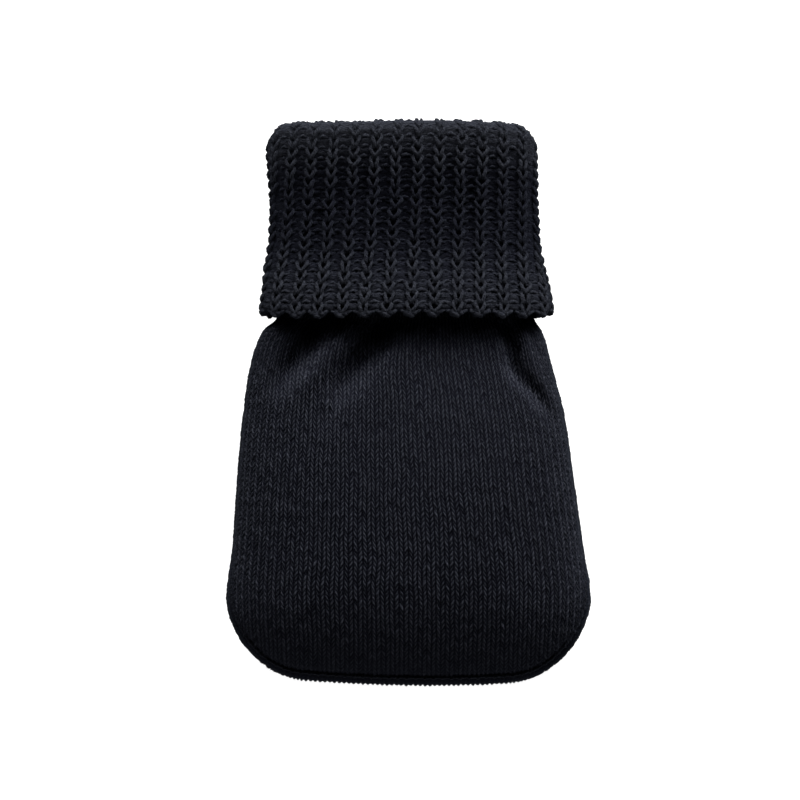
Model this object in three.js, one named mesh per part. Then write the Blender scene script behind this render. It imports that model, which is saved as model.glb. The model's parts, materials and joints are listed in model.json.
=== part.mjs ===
/**
 * A knitted cover for a small hand warmer, lying on its back, in millimetres.
 *
 * +X runs to the right, +Y runs up the cover towards its mouth, and +Z points out of its face.
 * The origin is at the middle of the bounding box, on the surface that the cover lies on.
 *
 * Two stockinette panels make the pouch. The back one lies flat, turns up round the edge and
 * meets the front one at a linked seam. The collar is a ring of one by one rib: it goes up
 * inside as the neck, folds over at the mouth and comes down outside as a flared cuff.
 */

import * as THREE from 'three';

// Driving dimensions of the cloth

const BODY_CLOTH = 2.2; // thickness of the stockinette
const NECK_CLOTH = 2.4; // thickness of the inner rib, under the cuff
const SEAM_GAP = 0.45; // between the edges of the two panels, along the face
const JOIN_GAP = 0.3; // between the panels and the neck
const ROUNDNESS = 2.4; // exponent of every rounded section: 2 is an ellipse, more is boxier

// Driving dimensions of the pouch

const BODY_TOP_Y = 26; // where the panels end, hidden under the cuff
const BODY_BOTTOM_Y = -73.7;
const WIDEST_Y = -50.3; // below this the sides run straight down into the corners
const CORNER_RADIUS = { left: 20, right: 21.5 };
const BOTTOM_SAG = { middleX: 5, reach: 30, drop: 1.2 };
const SEAM_INSET = { side: 0.3, bottom: 1.9 }; // how far the seam lies inside the outline
const SEAM_TURN = { fromY: -36, toY: -64 }; // where it moves from the side onto the face
const FACE_ROUND = 33; // how far in from the outline the face goes on rising
const BACK_TURN = 9; // how far in from the outline the back turns up

/** Outline of the pouch and the heights of its face, its widest line and its back. */
const BODY_SECTIONS = [
  { y: 26.0, left: -33.8, right: 31.9, face: 17.0, edge: 10.5, back: 3.9, backRound: 33 },
  { y: 21.8, left: -34.5, right: 32.7, face: 17.1, edge: 10.4, back: 3.4, backRound: 31 },
  { y: 18.6, left: -38.0, right: 34.8, face: 17.6, edge: 10.2, back: 2.6, backRound: 27 },
  { y: 10.5, left: -41.0, right: 37.1, face: 19.4, edge: 9.8, back: 0.9, backRound: 17 },
  { y: -2.0, left: -43.0, right: 40.4, face: 22.0, edge: 9.0, back: 0, backRound: 10 },
  { y: -19.1, left: -44.6, right: 43.0, face: 24.2, edge: 8.6, back: 0, backRound: 9 },
  { y: -37.8, left: -45.9, right: 45.6, face: 24.6, edge: 8.4, back: 0, backRound: 9 },
  { y: -50.3, left: -47.5, right: 47.5, face: 24.0, edge: 8.2, back: 0, backRound: 9 },
  { y: -73.7, left: -47.5, right: 47.5, face: 21.6, edge: 8.0, back: 0, backRound: 9 },
];

/** Folds where the collar draws the pouch in: a line on the face, its width and its height. */
const FACE_FOLDS = [
  { name: 'left outer trough', fromX: -24.8, fromY: 18.5, toX: -32.5, toY: 6, width: 3.0, height: -4.2 },
  { name: 'left ridge', fromX: -17.8, fromY: 16, toX: -28, toY: 2.5, width: 2.8, height: 1.2 },
  { name: 'left inner trough', fromX: -7.2, fromY: 18.5, toX: -16.6, toY: 5.5, width: 3.7, height: -4.2 },
  { name: 'left inner foot', fromX: -17, fromY: 6, toX: -21, toY: -4, width: 2.2, height: -1.2 },
  { name: 'middle rise', fromX: -1.5, fromY: 15, toX: -8, toY: 0, width: 3.6, height: 0.6 },
  { name: 'right trough', fromX: 26.0, fromY: 18.5, toX: 27.9, toY: 8.0, width: 1.8, height: -3.4 },
  { name: 'right foot', fromX: 28.6, fromY: 7.5, toX: 38.2, toY: -3.6, width: 2.0, height: -1.8 },
  { name: 'right lobe', fromX: 31.8, fromY: 15, toX: 35, toY: 6, width: 2.6, height: 0.9 },
];
const FOLD_START = { from: -0.6, to: 0.1 }; // shares of its length over which a fold sets in
const FOLD_END = { from: 0.5, to: 1.5 }; // and over which it dies out
const FOLD_FADE = 7; // how far in from the outline a fold reaches its full height
const FOLD_TOP_Y = 23; // below the join with the neck, where the face is still plain

// Driving dimensions of the collar

const RIBS = 28;
const RIB_START = 0.43; // where the first rib is, in ribs from the middle of the face
const RIB_LEAN = 0.0143; // how far the ribs lean to the left on their way down, in ribs for each mm
const RIB_LEAN_Y = 51.4; // the height at which they are in their own place
const TURN_RADIUS = 3.1; // of the turned top edge
const TURN_Y = 70.4; // where the cuff starts to turn over, at the middle of the face
const TURN_CORNER_DROP = 4.0; // how much lower the turned edge is at the two sides
const TURN_WAVE = { ribs: 0.25, slow: 0.3, waves: 4, start: 2.2 };
const CORNER_SHARPNESS = 16; // how closely the drop and the lift keep to the two sides
const CUFF_EDGE_Y = 21.4; // where the cuff's free edge is at the middle of the face
const CUFF_EDGE_LIFT = 0.7; // how much higher that edge is at the two sides
const CUFF_SCALLOP = 1.2; // how much further down a rib ends than the groove beside it
const CUFF_LIP = 0.5; // how far the rounded free edge stands below its two corners
const NECK_BOTTOM_Y = BODY_TOP_Y + JOIN_GAP;

/** Outer face of the cuff. Its back is a little under the floor, where the ribs lie flat. */
const CUFF_SECTIONS = [
  { y: 74.0, left: -36.5, right: 33.1, face: 19.2, back: -0.6, cloth: 3.2, groove: 1.2 },
  { y: 65.1, left: -37.2, right: 33.7, face: 19.2, back: -0.6, cloth: 3.2, groove: 1.5 },
  { y: 52.7, left: -37.2, right: 34.7, face: 19.0, back: -0.6, cloth: 3.2, groove: 1.7 },
  { y: 38.6, left: -37.6, right: 35.7, face: 20.3, back: -0.6, cloth: 3.2, groove: 1.6 },
  { y: 29.3, left: -38.5, right: 37.1, face: 22.5, back: -0.6, cloth: 2.9, groove: 1.2 },
  { y: 25.0, left: -38.9, right: 37.7, face: 23.2, back: -0.5, cloth: 2.5, groove: 1.0 },
  { y: 20.0, left: -38.2, right: 37.4, face: 22.9, back: -0.2, cloth: 2.4, groove: 0.9 },
];

/** Outer face of the neck, from the turned edge down to the panels. */
const NECK_SECTIONS = [
  { y: 74.0, left: -32.7, right: 29.3, face: 15.4, back: 3.2, groove: 0.6 },
  { y: 65.1, left: -33.2, right: 29.8, face: 15.4, back: 3.2, groove: 0.6 },
  { y: 52.7, left: -33.3, right: 30.8, face: 15.2, back: 3.3, groove: 0.6 },
  { y: 38.6, left: -33.6, right: 31.6, face: 16.1, back: 3.5, groove: 0.4 },
  { y: 26.0, left: -33.8, right: 31.9, face: 17.0, back: 3.9, groove: 0.0 },
];

// How finely the surfaces are divided

const PANEL_COLUMNS = 34;
const PANEL_ROWS = 20;
const BACK_TURN_STEPS = 4; // from the flat back out to the widest line
const SEAM_RISE_STEPS = 2; // from the widest line up to the seam
const CUFF_ROWS = 7;
const LAYER_ROWS = 3; // of each of the two faces between the cuff and the neck
const TURN_STEPS = 6;
const RIB_PHASES = [-0.16, 0.16, 0.38, 0.62]; // the two sides of a rib and of a groove
const RIB_GROOVES = [0, 0, 1, 1];
const ARC_SAMPLES = 1440;
const SPACING_RING = { halfWidth: 36, halfHeight: 9.8 }; // section on which the ribs are spaced
const SLOPE_STEP = 0.02; // distance over which a slope is measured

/** Smooth value of one column of a table at y: a cubic through the rows, held at both ends. */
function along(table, column, y) {
  const last = table.length - 1;
  if (y >= table[0].y) return table[0][column];
  if (y <= table[last].y) return table[last][column];
  let row = 0;
  while (y < table[row + 1].y) row += 1;
  const slopeAt = (index) => {
    const before = table[Math.max(index - 1, 0)];
    const after = table[Math.min(index + 1, last)];
    return (after[column] - before[column]) / (after.y - before.y);
  };
  const start = table[row];
  const span = table[row + 1].y - start.y;
  const rise = table[row + 1][column] - start[column];
  const t = (y - start.y) / span;
  const startPull = slopeAt(row) * span - rise;
  const endPull = slopeAt(row + 1) * span - rise;
  return start[column] + rise * t + t * (1 - t) * (startPull * (1 - t) - endPull * t);
}

/** 0 before the first value, 1 past the second, and a smooth rise between them. */
function ramp(from, to, value) {
  const t = THREE.MathUtils.clamp((value - from) / (to - from), 0, 1);
  return t * t * (3 - 2 * t);
}

/** Height, from 0 to 1, of a rounded edge at a share t of the way in from its outline. */
function roundedRise(t) {
  const inward = THREE.MathUtils.clamp(t, 0, 1);
  return Math.pow(1 - Math.pow(1 - inward, ROUNDNESS), 1 / ROUNDNESS);
}

// The outline of the pouch

/** Its middle and half width at y, and the corner radius and the bottom below x. */
function outlineAt(x, y) {
  const left = along(BODY_SECTIONS, 'left', y);
  const right = along(BODY_SECTIONS, 'right', y);
  const middle = (left + right) / 2;
  const radius = x < middle ? CORNER_RADIUS.left : CORNER_RADIUS.right;
  const fromSagMiddle = (x - BOTTOM_SAG.middleX) / BOTTOM_SAG.reach;
  const bottom = BODY_BOTTOM_Y + BOTTOM_SAG.drop * fromSagMiddle * fromSagMiddle;
  return { middle, halfWidth: (right - left) / 2, radius, bottom };
}

/** Where a point lies against the centre of its corner: both negative means in the corner. */
function cornerOffsets(x, y) {
  const { middle, halfWidth, radius, bottom } = outlineAt(x, y);
  const fromSide = halfWidth - radius - Math.abs(x - middle);
  return { fromSide, fromBottom: y - bottom - radius, radius, side: Math.sign(x - middle) || 1 };
}

/** Distance of a point inside the outline: round in the corners, smooth across the middle. */
function insetAt(x, y) {
  const { fromSide, fromBottom, radius } = cornerOffsets(x, y);
  const apart = Math.hypot(fromSide, fromBottom);
  if (fromSide <= 0 && fromBottom <= 0) return radius - apart;
  if (fromSide <= 0) return radius + fromSide;
  if (fromBottom <= 0) return radius + fromBottom;
  return radius + (fromSide * fromBottom) / apart;
}

/** Unit vector into the pouch: level from a side, upwards from the bottom, round in a corner. */
function inwardAt(x, y) {
  const { fromSide, fromBottom, side } = cornerOffsets(x, y);
  const inward = new THREE.Vector2(side * fromSide, -fromBottom);
  if (fromSide <= 0 && fromBottom > 0) inward.set(-side, 0);
  if (fromSide > 0 && fromBottom <= 0) inward.set(0, 1);
  if (fromSide > 0 && fromBottom > 0) inward.set(-side * fromBottom ** 3, fromSide ** 3);
  return inward.normalize();
}

/** How far inside the outline the seam lies at this height of the cover. */
function seamInsetAt(y) {
  const turned = ramp(SEAM_TURN.fromY, SEAM_TURN.toY, y);
  return THREE.MathUtils.lerp(SEAM_INSET.side, SEAM_INSET.bottom, turned);
}

/** Lowest y of the wale that ends at a share across the widest line, on the seam. */
function waleEnd(across) {
  let y = BODY_BOTTOM_Y;
  for (let step = 0; step < 8; step += 1) {
    const inset = seamInsetAt(y);
    const wide = outlineAt(0, WIDEST_Y);
    const x = wide.middle + across * (wide.halfWidth - inset);
    const { middle, halfWidth, radius, bottom } = outlineAt(x, WIDEST_Y);
    const pastCorner = Math.max(Math.abs(x - middle) - (halfWidth - radius), 0);
    const depth = Math.sqrt(Math.max((radius - inset) ** 2 - pastCorner ** 2, 0));
    y = bottom + radius - depth;
  }
  return y;
}

// The heights of the pouch

/** Sum of the folds at a point: each is a soft bell across its line that fades at its ends. */
function foldsAt(x, y) {
  let height = 0;
  for (const fold of FACE_FOLDS) {
    const run = new THREE.Vector2(fold.toX - fold.fromX, fold.toY - fold.fromY);
    const length = run.length();
    run.normalize();
    const offset = new THREE.Vector2(x - fold.fromX, y - fold.fromY);
    const share = offset.dot(run) / length;
    const across = offset.cross(run) / fold.width;
    const setIn = ramp(FOLD_START.from, FOLD_START.to, share);
    const diedOut = ramp(FOLD_END.from, FOLD_END.to, share);
    height += fold.height * setIn * (1 - diedOut) * Math.exp(-across * across);
  }
  return height * ramp(0, FOLD_FADE, insetAt(x, y));
}

function faceHeight(x, y) {
  const edge = along(BODY_SECTIONS, 'edge', y);
  const face = along(BODY_SECTIONS, 'face', y);
  const rise = (face - edge) * roundedRise(insetAt(x, y) / FACE_ROUND);
  return edge + rise + foldsAt(x, y) * ramp(BODY_TOP_Y, FOLD_TOP_Y, y);
}

/** The back lies flat on the surface, turns up at the outline and lifts towards the neck. */
function backHeight(x, y) {
  const edge = along(BODY_SECTIONS, 'edge', y);
  const back = Math.max(along(BODY_SECTIONS, 'back', y), 0);
  const round = along(BODY_SECTIONS, 'backRound', y);
  return edge - (edge - back) * roundedRise(insetAt(x, y) / round);
}

/** A point of the face (side 1) or the back (side -1) with its outward normal from the slopes. */
function surfacePoint(heightAt, side, x, y) {
  const inward = inwardAt(x, y);
  const nudge = insetAt(x, y) < 2 * SLOPE_STEP ? 2 * SLOPE_STEP : 0;
  const nearX = x + inward.x * nudge;
  const nearY = y + inward.y * nudge;
  const riseX = heightAt(nearX + SLOPE_STEP, nearY) - heightAt(nearX - SLOPE_STEP, nearY);
  const riseY = heightAt(nearX, nearY + SLOPE_STEP) - heightAt(nearX, nearY - SLOPE_STEP);
  const normal = new THREE.Vector3(-riseX * side, -riseY * side, 2 * SLOPE_STEP * side);
  const point = { place: new THREE.Vector3(x, y, heightAt(x, y)), normal: normal.normalize() };
  if (y > BODY_TOP_Y - SLOPE_STEP) point.normal.setY(0).normalize();
  return point;
}

// Closed meshes

function quad(faces, a, b, c, d) {
  faces.push(a, b, c, a, c, d);
}

function namedMesh(name, places, faces, material) {
  const geometry = new THREE.BufferGeometry();
  const numbers = places.flatMap((place) => place.toArray());
  geometry.setAttribute('position', new THREE.Float32BufferAttribute(numbers, 3));
  geometry.setIndex(faces);
  geometry.computeVertexNormals();
  const mesh = new THREE.Mesh(geometry, material);
  mesh.name = name;
  return mesh;
}

/** A closed sheet: the outer faces, the same faces moved in by the thickness, and a rim. */
function clothSheet(name, points, outerFaces, thickness, material) {
  const inner = points.map(({ place, normal }) => place.clone().addScaledVector(normal, -thickness));
  const places = points.map(({ place }) => place).concat(inner);
  const faces = [...outerFaces];
  const under = points.length;
  const edges = new Map();
  for (let face = 0; face < outerFaces.length; face += 3) {
    const corners = outerFaces.slice(face, face + 3);
    faces.push(under + corners[2], under + corners[1], under + corners[0]);
    corners.forEach((corner, index) => {
      const next = corners[(index + 1) % 3];
      edges.set(`${corner} ${next}`, [corner, next]);
    });
  }
  for (const [from, to] of edges.values()) {
    if (!edges.has(`${to} ${from}`)) quad(faces, to, from, under + from, under + to);
  }
  return namedMesh(name, places, faces, material);
}

// The two panels

/** Places of the panel's grid, row by row from the top: its columns fan out as the wales do. */
function panelGrid() {
  const rows = [];
  for (let row = 0; row <= PANEL_ROWS; row += 1) {
    const evenDown = row / PANEL_ROWS;
    const down = (evenDown + Math.sin((Math.PI / 2) * evenDown)) / 2;
    const places = [];
    for (let column = 0; column <= PANEL_COLUMNS; column += 1) {
      const evenAcross = (2 * column) / PANEL_COLUMNS - 1;
      const across = (evenAcross + Math.sin((Math.PI / 2) * evenAcross)) / 2;
      const y = THREE.MathUtils.lerp(BODY_TOP_Y, waleEnd(across), down);
      const { middle, halfWidth } = outlineAt(0, y);
      places.push(new THREE.Vector2(middle + across * (halfWidth - seamInsetAt(y)), y));
    }
    rows.push(places);
  }
  return rows;
}

/** Outward faces of a grid whose rows run down and whose columns run to the right. */
function gridFaces(rows, facesUp) {
  const faces = [];
  const width = rows[0].length;
  for (let row = 0; row + 1 < rows.length; row += 1) {
    for (let column = 0; column + 1 < width; column += 1) {
      const a = row * width + column;
      const b = a + width;
      if (facesUp) quad(faces, a, b, b + 1, a + 1);
      else quad(faces, a, a + 1, b + 1, b);
    }
  }
  return faces;
}

function frontPanel(material) {
  const rows = panelGrid();
  const points = rows.flat().map(({ x, y }) => surfacePoint(faceHeight, 1, x, y));
  return clothSheet('front_panel', points, gridFaces(rows, true), BODY_CLOTH, material);
}

/** The inset at which the back panel ends, one gap short of the seam along the face. */
function insetBeforeSeam(place) {
  const inward = inwardAt(place.x, place.y);
  const seam = insetAt(place.x, place.y);
  const seamHeight = faceHeight(place.x, place.y);
  let near = 0;
  let far = seam;
  for (let step = 0; step < 30; step += 1) {
    const back = (near + far) / 2;
    const height = faceHeight(place.x - inward.x * back, place.y - inward.y * back);
    if (Math.hypot(back, height - seamHeight) < SEAM_GAP) near = back;
    else far = back;
  }
  return seam - near;
}

/** The insets, from the flat back out to the outline and up the edge to the seam. */
function turnSteps(place) {
  const steps = [];
  for (let step = BACK_TURN_STEPS - 1; step >= 0; step -= 1) {
    const angle = (Math.PI / 2) * (step / BACK_TURN_STEPS);
    const inset = BACK_TURN * (1 - Math.cos(angle) ** (2 / ROUNDNESS));
    steps.push({ inset, heightAt: backHeight, side: -1 });
  }
  const end = insetBeforeSeam(place);
  for (let step = 1; step <= SEAM_RISE_STEPS; step += 1) {
    const inset = end * (step / SEAM_RISE_STEPS) ** 2;
    steps.push({ inset, heightAt: faceHeight, side: 1 });
  }
  return steps;
}

/**
 * The back panel's grid is the front one's, drawn in to the part that lies flat. From its two
 * sides and its bottom, strips of cloth turn up round the edge as far as the seam.
 */
function backPanel(material) {
  const rows = panelGrid();
  const width = rows[0].length;
  const drawnIn = (place) => {
    const inset = insetAt(place.x, place.y);
    const edgeInset = seamInsetAt(place.y);
    const share = THREE.MathUtils.clamp((inset - edgeInset) / (FACE_ROUND - edgeInset), 0, 1);
    const shift = (BACK_TURN - edgeInset) * (1 - share) ** 2;
    return place.clone().addScaledVector(inwardAt(place.x, place.y), shift);
  };
  const points = rows.flat().map(drawnIn).map(({ x, y }) => surfacePoint(backHeight, -1, x, y));
  const faces = gridFaces(rows, false);

  const rim = [];
  rows.forEach((row, index) => rim.push({ place: row[0], index: index * width }));
  rows.at(-1).slice(1, -1).forEach((place, index) => {
    rim.push({ place, index: (rows.length - 1) * width + index + 1 });
  });
  rows.toReversed().forEach((row, index) => {
    rim.push({ place: row.at(-1), index: (rows.length - index) * width - 1 });
  });

  const strips = rim.map(({ place, index }) => {
    const inward = inwardAt(place.x, place.y);
    const start = insetAt(place.x, place.y);
    const indices = turnSteps(place).map(({ inset, heightAt, side }) => {
      const moved = place.clone().addScaledVector(inward, inset - start);
      return points.push(surfacePoint(heightAt, side, moved.x, moved.y)) - 1;
    });
    return [index, ...indices];
  });
  for (let strip = 0; strip + 1 < strips.length; strip += 1) {
    const here = strips[strip];
    const next = strips[strip + 1];
    for (let step = 0; step + 1 < here.length; step += 1) {
      quad(faces, here[step], next[step], next[step + 1], here[step + 1]);
    }
  }
  return clothSheet('back_panel', points, faces, BODY_CLOTH, material);
}

// The collar

/** A point of the unit ring section at an angle: right is 0, the face is a quarter turn on. */
function ringUnit(angle) {
  const power = 2 / ROUNDNESS;
  const rounded = (value) => Math.sign(value) * Math.abs(value) ** power;
  return new THREE.Vector2(rounded(Math.cos(angle)), rounded(Math.sin(angle)));
}

/** Lengths round the ring at even steps of the angle, measured on a middle section of the cuff. */
function ringArcLengths() {
  const size = new THREE.Vector2(SPACING_RING.halfWidth, SPACING_RING.halfHeight);
  const lengths = [0];
  for (let sample = 1; sample <= ARC_SAMPLES; sample += 1) {
    const before = ringUnit(((sample - 1) / ARC_SAMPLES) * 2 * Math.PI).multiply(size);
    const here = ringUnit((sample / ARC_SAMPLES) * 2 * Math.PI).multiply(size);
    lengths.push(lengths[sample - 1] + here.distanceTo(before));
  }
  return lengths;
}

const RING_LENGTHS = ringArcLengths();

/** The angle at a share of the way round the ring, from the middle of the face. */
function ringAngle(share) {
  const quarter = RING_LENGTHS[ARC_SAMPLES / 4];
  const whole = RING_LENGTHS[ARC_SAMPLES];
  const target = (quarter + share * whole + whole) % whole;
  const sample = RING_LENGTHS.findIndex((length) => length > target) - 1;
  const part = (target - RING_LENGTHS[sample]) / (RING_LENGTHS[sample + 1] - RING_LENGTHS[sample]);
  return ((sample + part) / ARC_SAMPLES) * 2 * Math.PI;
}

/** A point on a ring section, moved in from its outer face. */
function ringPlace(table, angle, y, inset) {
  const left = along(table, 'left', y);
  const right = along(table, 'right', y);
  const face = along(table, 'face', y);
  const back = along(table, 'back', y);
  const unit = ringUnit(angle);
  const x = (left + right) / 2 + unit.x * ((right - left) / 2 - inset);
  const z = (face + back) / 2 + unit.y * ((face - back) / 2 - inset);
  return new THREE.Vector3(x, y, z);
}

/** The section of the collar along one line of its ribs: down the cuff, up inside it, round the neck. */
function collarContour(share, groove) {
  const angleAt = (y) => ringAngle(share + (RIB_LEAN * (RIB_LEAN_Y - y)) / RIBS);
  const turned = angleAt(TURN_Y);
  const free = angleAt(CUFF_EDGE_Y);
  const sideways = (angle) => Math.abs(Math.cos(angle)) ** CORNER_SHARPNESS;
  const slowWave = (angle) => TURN_WAVE.slow * Math.sin(TURN_WAVE.waves * angle + TURN_WAVE.start);
  const turnY = TURN_Y - TURN_CORNER_DROP * sideways(turned) + slowWave(turned) - TURN_WAVE.ribs * groove;
  const edgeY = CUFF_EDGE_Y + CUFF_EDGE_LIFT * sideways(free) + CUFF_SCALLOP * groove + slowWave(free) / 2;
  const onCuff = (y, inset) => ringPlace(CUFF_SECTIONS, angleAt(Math.min(y, TURN_Y)), y, inset);
  const cuff = (y, depth) => onCuff(y, depth * along(CUFF_SECTIONS, 'cloth', y));
  const cuffFace = (y) => onCuff(y, groove * along(CUFF_SECTIONS, 'groove', y));
  const neck = (y, depth) => ringPlace(NECK_SECTIONS, turned, y, depth * NECK_CLOTH);
  const neckInside = (y) => {
    const raised = NECK_CLOTH - groove * along(NECK_SECTIONS, 'groove', y);
    return ringPlace(NECK_SECTIONS, turned, y, raised);
  };
  const places = [];
  for (let row = 0; row <= CUFF_ROWS; row += 1) {
    places.push(cuffFace(THREE.MathUtils.lerp(turnY, edgeY, row / CUFF_ROWS)));
  }
  places.push(cuff(edgeY, 0.5).setY(edgeY - CUFF_LIP));
  for (let row = 0; row <= LAYER_ROWS; row += 1) {
    places.push(cuff(THREE.MathUtils.lerp(edgeY, turnY, row / LAYER_ROWS), 1));
  }
  for (let row = 0; row <= LAYER_ROWS; row += 1) {
    places.push(neck(THREE.MathUtils.lerp(turnY, NECK_BOTTOM_Y, row / LAYER_ROWS), 0));
  }
  for (let row = LAYER_ROWS; row >= 0; row -= 1) {
    places.push(neckInside(THREE.MathUtils.lerp(turnY, NECK_BOTTOM_Y, row / LAYER_ROWS)));
  }
  for (let step = 1; step < TURN_STEPS; step += 1) {
    const bend = Math.PI * (step / TURN_STEPS);
    const place = neckInside(turnY).lerp(cuffFace(turnY), (1 - Math.cos(bend)) / 2);
    places.push(place.setY(turnY + (TURN_RADIUS - groove * TURN_WAVE.ribs) * Math.sin(bend)));
  }
  for (const place of places) place.z = Math.max(place.z, 0);
  return places;
}

function collar(material) {
  const columns = [];
  for (let rib = 0; rib < RIBS; rib += 1) {
    RIB_PHASES.forEach((phase, index) => {
      columns.push({ share: (rib + RIB_START + phase) / RIBS, groove: RIB_GROOVES[index] });
    });
  }
  const contours = columns.map(({ share, groove }) => collarContour(share, groove));
  const length = contours[0].length;
  const faces = [];
  for (let column = 0; column < columns.length; column += 1) {
    const here = column * length;
    const next = ((column + 1) % columns.length) * length;
    for (let row = 0; row < length; row += 1) {
      const below = (row + 1) % length;
      quad(faces, here + row, next + row, next + below, here + below);
    }
  }
  return namedMesh('collar', contours.flat(), faces, material);
}

// The cover, with its origin moved to the middle of its bounding box on the surface

function yarn(color, roughness) {
  return new THREE.MeshStandardMaterial({ color, roughness, metalness: 0 });
}

const cover = new THREE.Group();
cover.add(frontPanel(yarn(0x1b1d22, 0.95)));
cover.add(backPanel(yarn(0x1b1d22, 0.95)));
cover.add(collar(yarn(0x1e2025, 0.93)));

const box = new THREE.Box3().setFromObject(cover, true);
cover.position.set(-(box.min.x + box.max.x) / 2, -(box.min.y + box.max.y) / 2, -box.min.z);

export default cover;
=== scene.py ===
# %% [markdown]
# # A knitted cover for a hand warmer
#
# The cover is a flat pouch of black stockinette with a long ribbed collar that is turned down
# over its neck. It lies on its back and is seen from straight above. This lesson builds what
# the eye reads as knitting: the columns of stitches on the two panels, the loops of yarn of
# the rib, and the linked seam. All of it is worked out with numpy as whole arrays, and every
# size is in millimetres until the last step, which turns it into metres.

import json
import math

import bpy
import numpy as np
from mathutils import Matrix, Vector

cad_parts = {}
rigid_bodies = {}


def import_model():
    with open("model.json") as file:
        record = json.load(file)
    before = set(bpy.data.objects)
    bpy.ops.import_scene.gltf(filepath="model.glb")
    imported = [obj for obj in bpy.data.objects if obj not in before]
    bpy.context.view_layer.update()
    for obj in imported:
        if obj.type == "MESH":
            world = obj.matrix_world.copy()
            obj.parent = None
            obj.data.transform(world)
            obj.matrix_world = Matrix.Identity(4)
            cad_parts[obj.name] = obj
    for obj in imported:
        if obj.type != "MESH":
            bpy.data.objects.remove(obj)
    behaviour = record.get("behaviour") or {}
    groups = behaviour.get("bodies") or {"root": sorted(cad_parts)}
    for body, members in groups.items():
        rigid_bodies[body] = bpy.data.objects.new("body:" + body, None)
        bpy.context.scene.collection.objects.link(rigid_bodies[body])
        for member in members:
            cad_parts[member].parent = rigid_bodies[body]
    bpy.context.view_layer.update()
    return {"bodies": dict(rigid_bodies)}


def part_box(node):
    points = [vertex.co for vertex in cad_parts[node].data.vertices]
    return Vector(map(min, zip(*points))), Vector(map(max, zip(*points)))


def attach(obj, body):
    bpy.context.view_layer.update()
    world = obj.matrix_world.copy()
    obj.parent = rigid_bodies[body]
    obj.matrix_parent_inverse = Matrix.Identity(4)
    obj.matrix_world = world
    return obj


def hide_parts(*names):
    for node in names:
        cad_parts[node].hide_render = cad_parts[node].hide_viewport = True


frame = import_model()
BODY = next(iter(frame["bodies"]))

# %% [markdown]
# ## Camera
#
# The picture is taken from straight above with the mouth of the cover at the top, so the
# camera looks down and its own up is +Y. A long lens from far away keeps the sides upright,
# as in a product photograph. A shorter lens close by would bend the tall cuff outwards. The
# scale comes from the knit: the picture is 208 mm wide at the height of the outline.

# %% Camera
PICTURE_WIDTH = 0.208
CAMERA_HEIGHT = 1.6
OUTLINE_HEIGHT = 0.009
SENSOR_WIDTH = 36.0
PICTURE_CENTRE = (-0.0022, 0.0007)

camera_data = bpy.data.cameras.new("camera")
camera_data.sensor_width = SENSOR_WIDTH
camera_data.lens = SENSOR_WIDTH * (CAMERA_HEIGHT - OUTLINE_HEIGHT) / PICTURE_WIDTH
camera = bpy.data.objects.new("camera", camera_data)
camera.location = (*PICTURE_CENTRE, CAMERA_HEIGHT)
bpy.context.scene.collection.objects.link(camera)
bpy.context.scene.camera = camera
print("lens", round(camera_data.lens, 1), "mm")

# %% [markdown]
# ## Floor and light
#
# Black yarn shows its stitches only where light rakes across it. So two soft panels stand low
# beyond the mouth of the cover, one to each side. They catch the turned edge, the tops of the
# ribs and the swell of the pouch, and leave the channels, the grooves between the stitches and
# the place under the cuff dark. The right one is the stronger. A weak one stands higher and
# reaches the lower part of the pouch, which slopes away from the others. A white card, low on
# the near side, sends a little light back to the lower rim. There is almost no light from
# anywhere else, and that little is bluish. The floor is plain white and glows by itself, so
# that only a faint shadow stays on it. It sends no light back to the cover, because in the
# picture the rim next to it is dark.

# %% Floor and light
FLOOR_SIZE = 6.0
FLOOR_DROP = 0.0002
FLOOR_GREY = (0.5, 0.5, 0.5, 1)
FLOOR_ROUGHNESS = 0.8
FLOOR_GLOW = 0.95
FILL_STRENGTH = 0.03
FILL_COLOUR = (0.62, 0.74, 1.0, 1)
PANEL_SIZE = 0.7
PANEL_DISTANCE = 1.4
PANELS = [
    ("right panel light", 27.0, 18.0, 40.0),
    ("left panel light", -22.0, 18.0, 25.0),
    ("high panel light", 6.0, 42.0, 5.5),
    ("white card", 180.0, 13.0, 8.0),
]


def principled(material):
    """The main shader of a material that uses nodes."""
    return material.node_tree.nodes["Principled BSDF"]


def add_floor():
    """A white square just under the cover, which the diffuse and glossy rays don't see."""
    half = FLOOR_SIZE / 2
    corners = [(-half, -half), (half, -half), (half, half), (-half, half)]
    mesh = bpy.data.meshes.new("floor")
    mesh.from_pydata([(x, y, -FLOOR_DROP) for x, y in corners], [], [(0, 1, 2, 3)])
    floor = bpy.data.objects.new("floor", mesh)
    bpy.context.scene.collection.objects.link(floor)
    material = bpy.data.materials.new("white studio floor")
    material.use_nodes = True
    shader = principled(material)
    shader.inputs["Base Color"].default_value = FLOOR_GREY
    shader.inputs["Roughness"].default_value = FLOOR_ROUGHNESS
    shader.inputs["Emission Color"].default_value = (1, 1, 1, 1)
    shader.inputs["Emission Strength"].default_value = FLOOR_GLOW
    mesh.materials.append(material)
    floor.visible_diffuse = False
    floor.visible_glossy = False


def add_panel_light(name, sideways, height, power):
    """A round panel that faces the cover from an angle off +Y and an angle above the floor:
    the direction is the sine and the cosine of the first, times the cosine of the second."""
    data = bpy.data.lights.new(name, "AREA")
    data.shape = "DISK"
    data.size = PANEL_SIZE
    data.energy = power
    light = bpy.data.objects.new(name, data)
    turn, rise = math.radians(sideways), math.radians(height)
    towards = Vector((math.sin(turn), math.cos(turn), 0.0)) * math.cos(rise)
    towards.z = math.sin(rise)
    light.location = towards * PANEL_DISTANCE
    light.rotation_euler = towards.to_track_quat("Z", "Y").to_euler()
    bpy.context.scene.collection.objects.link(light)


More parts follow.
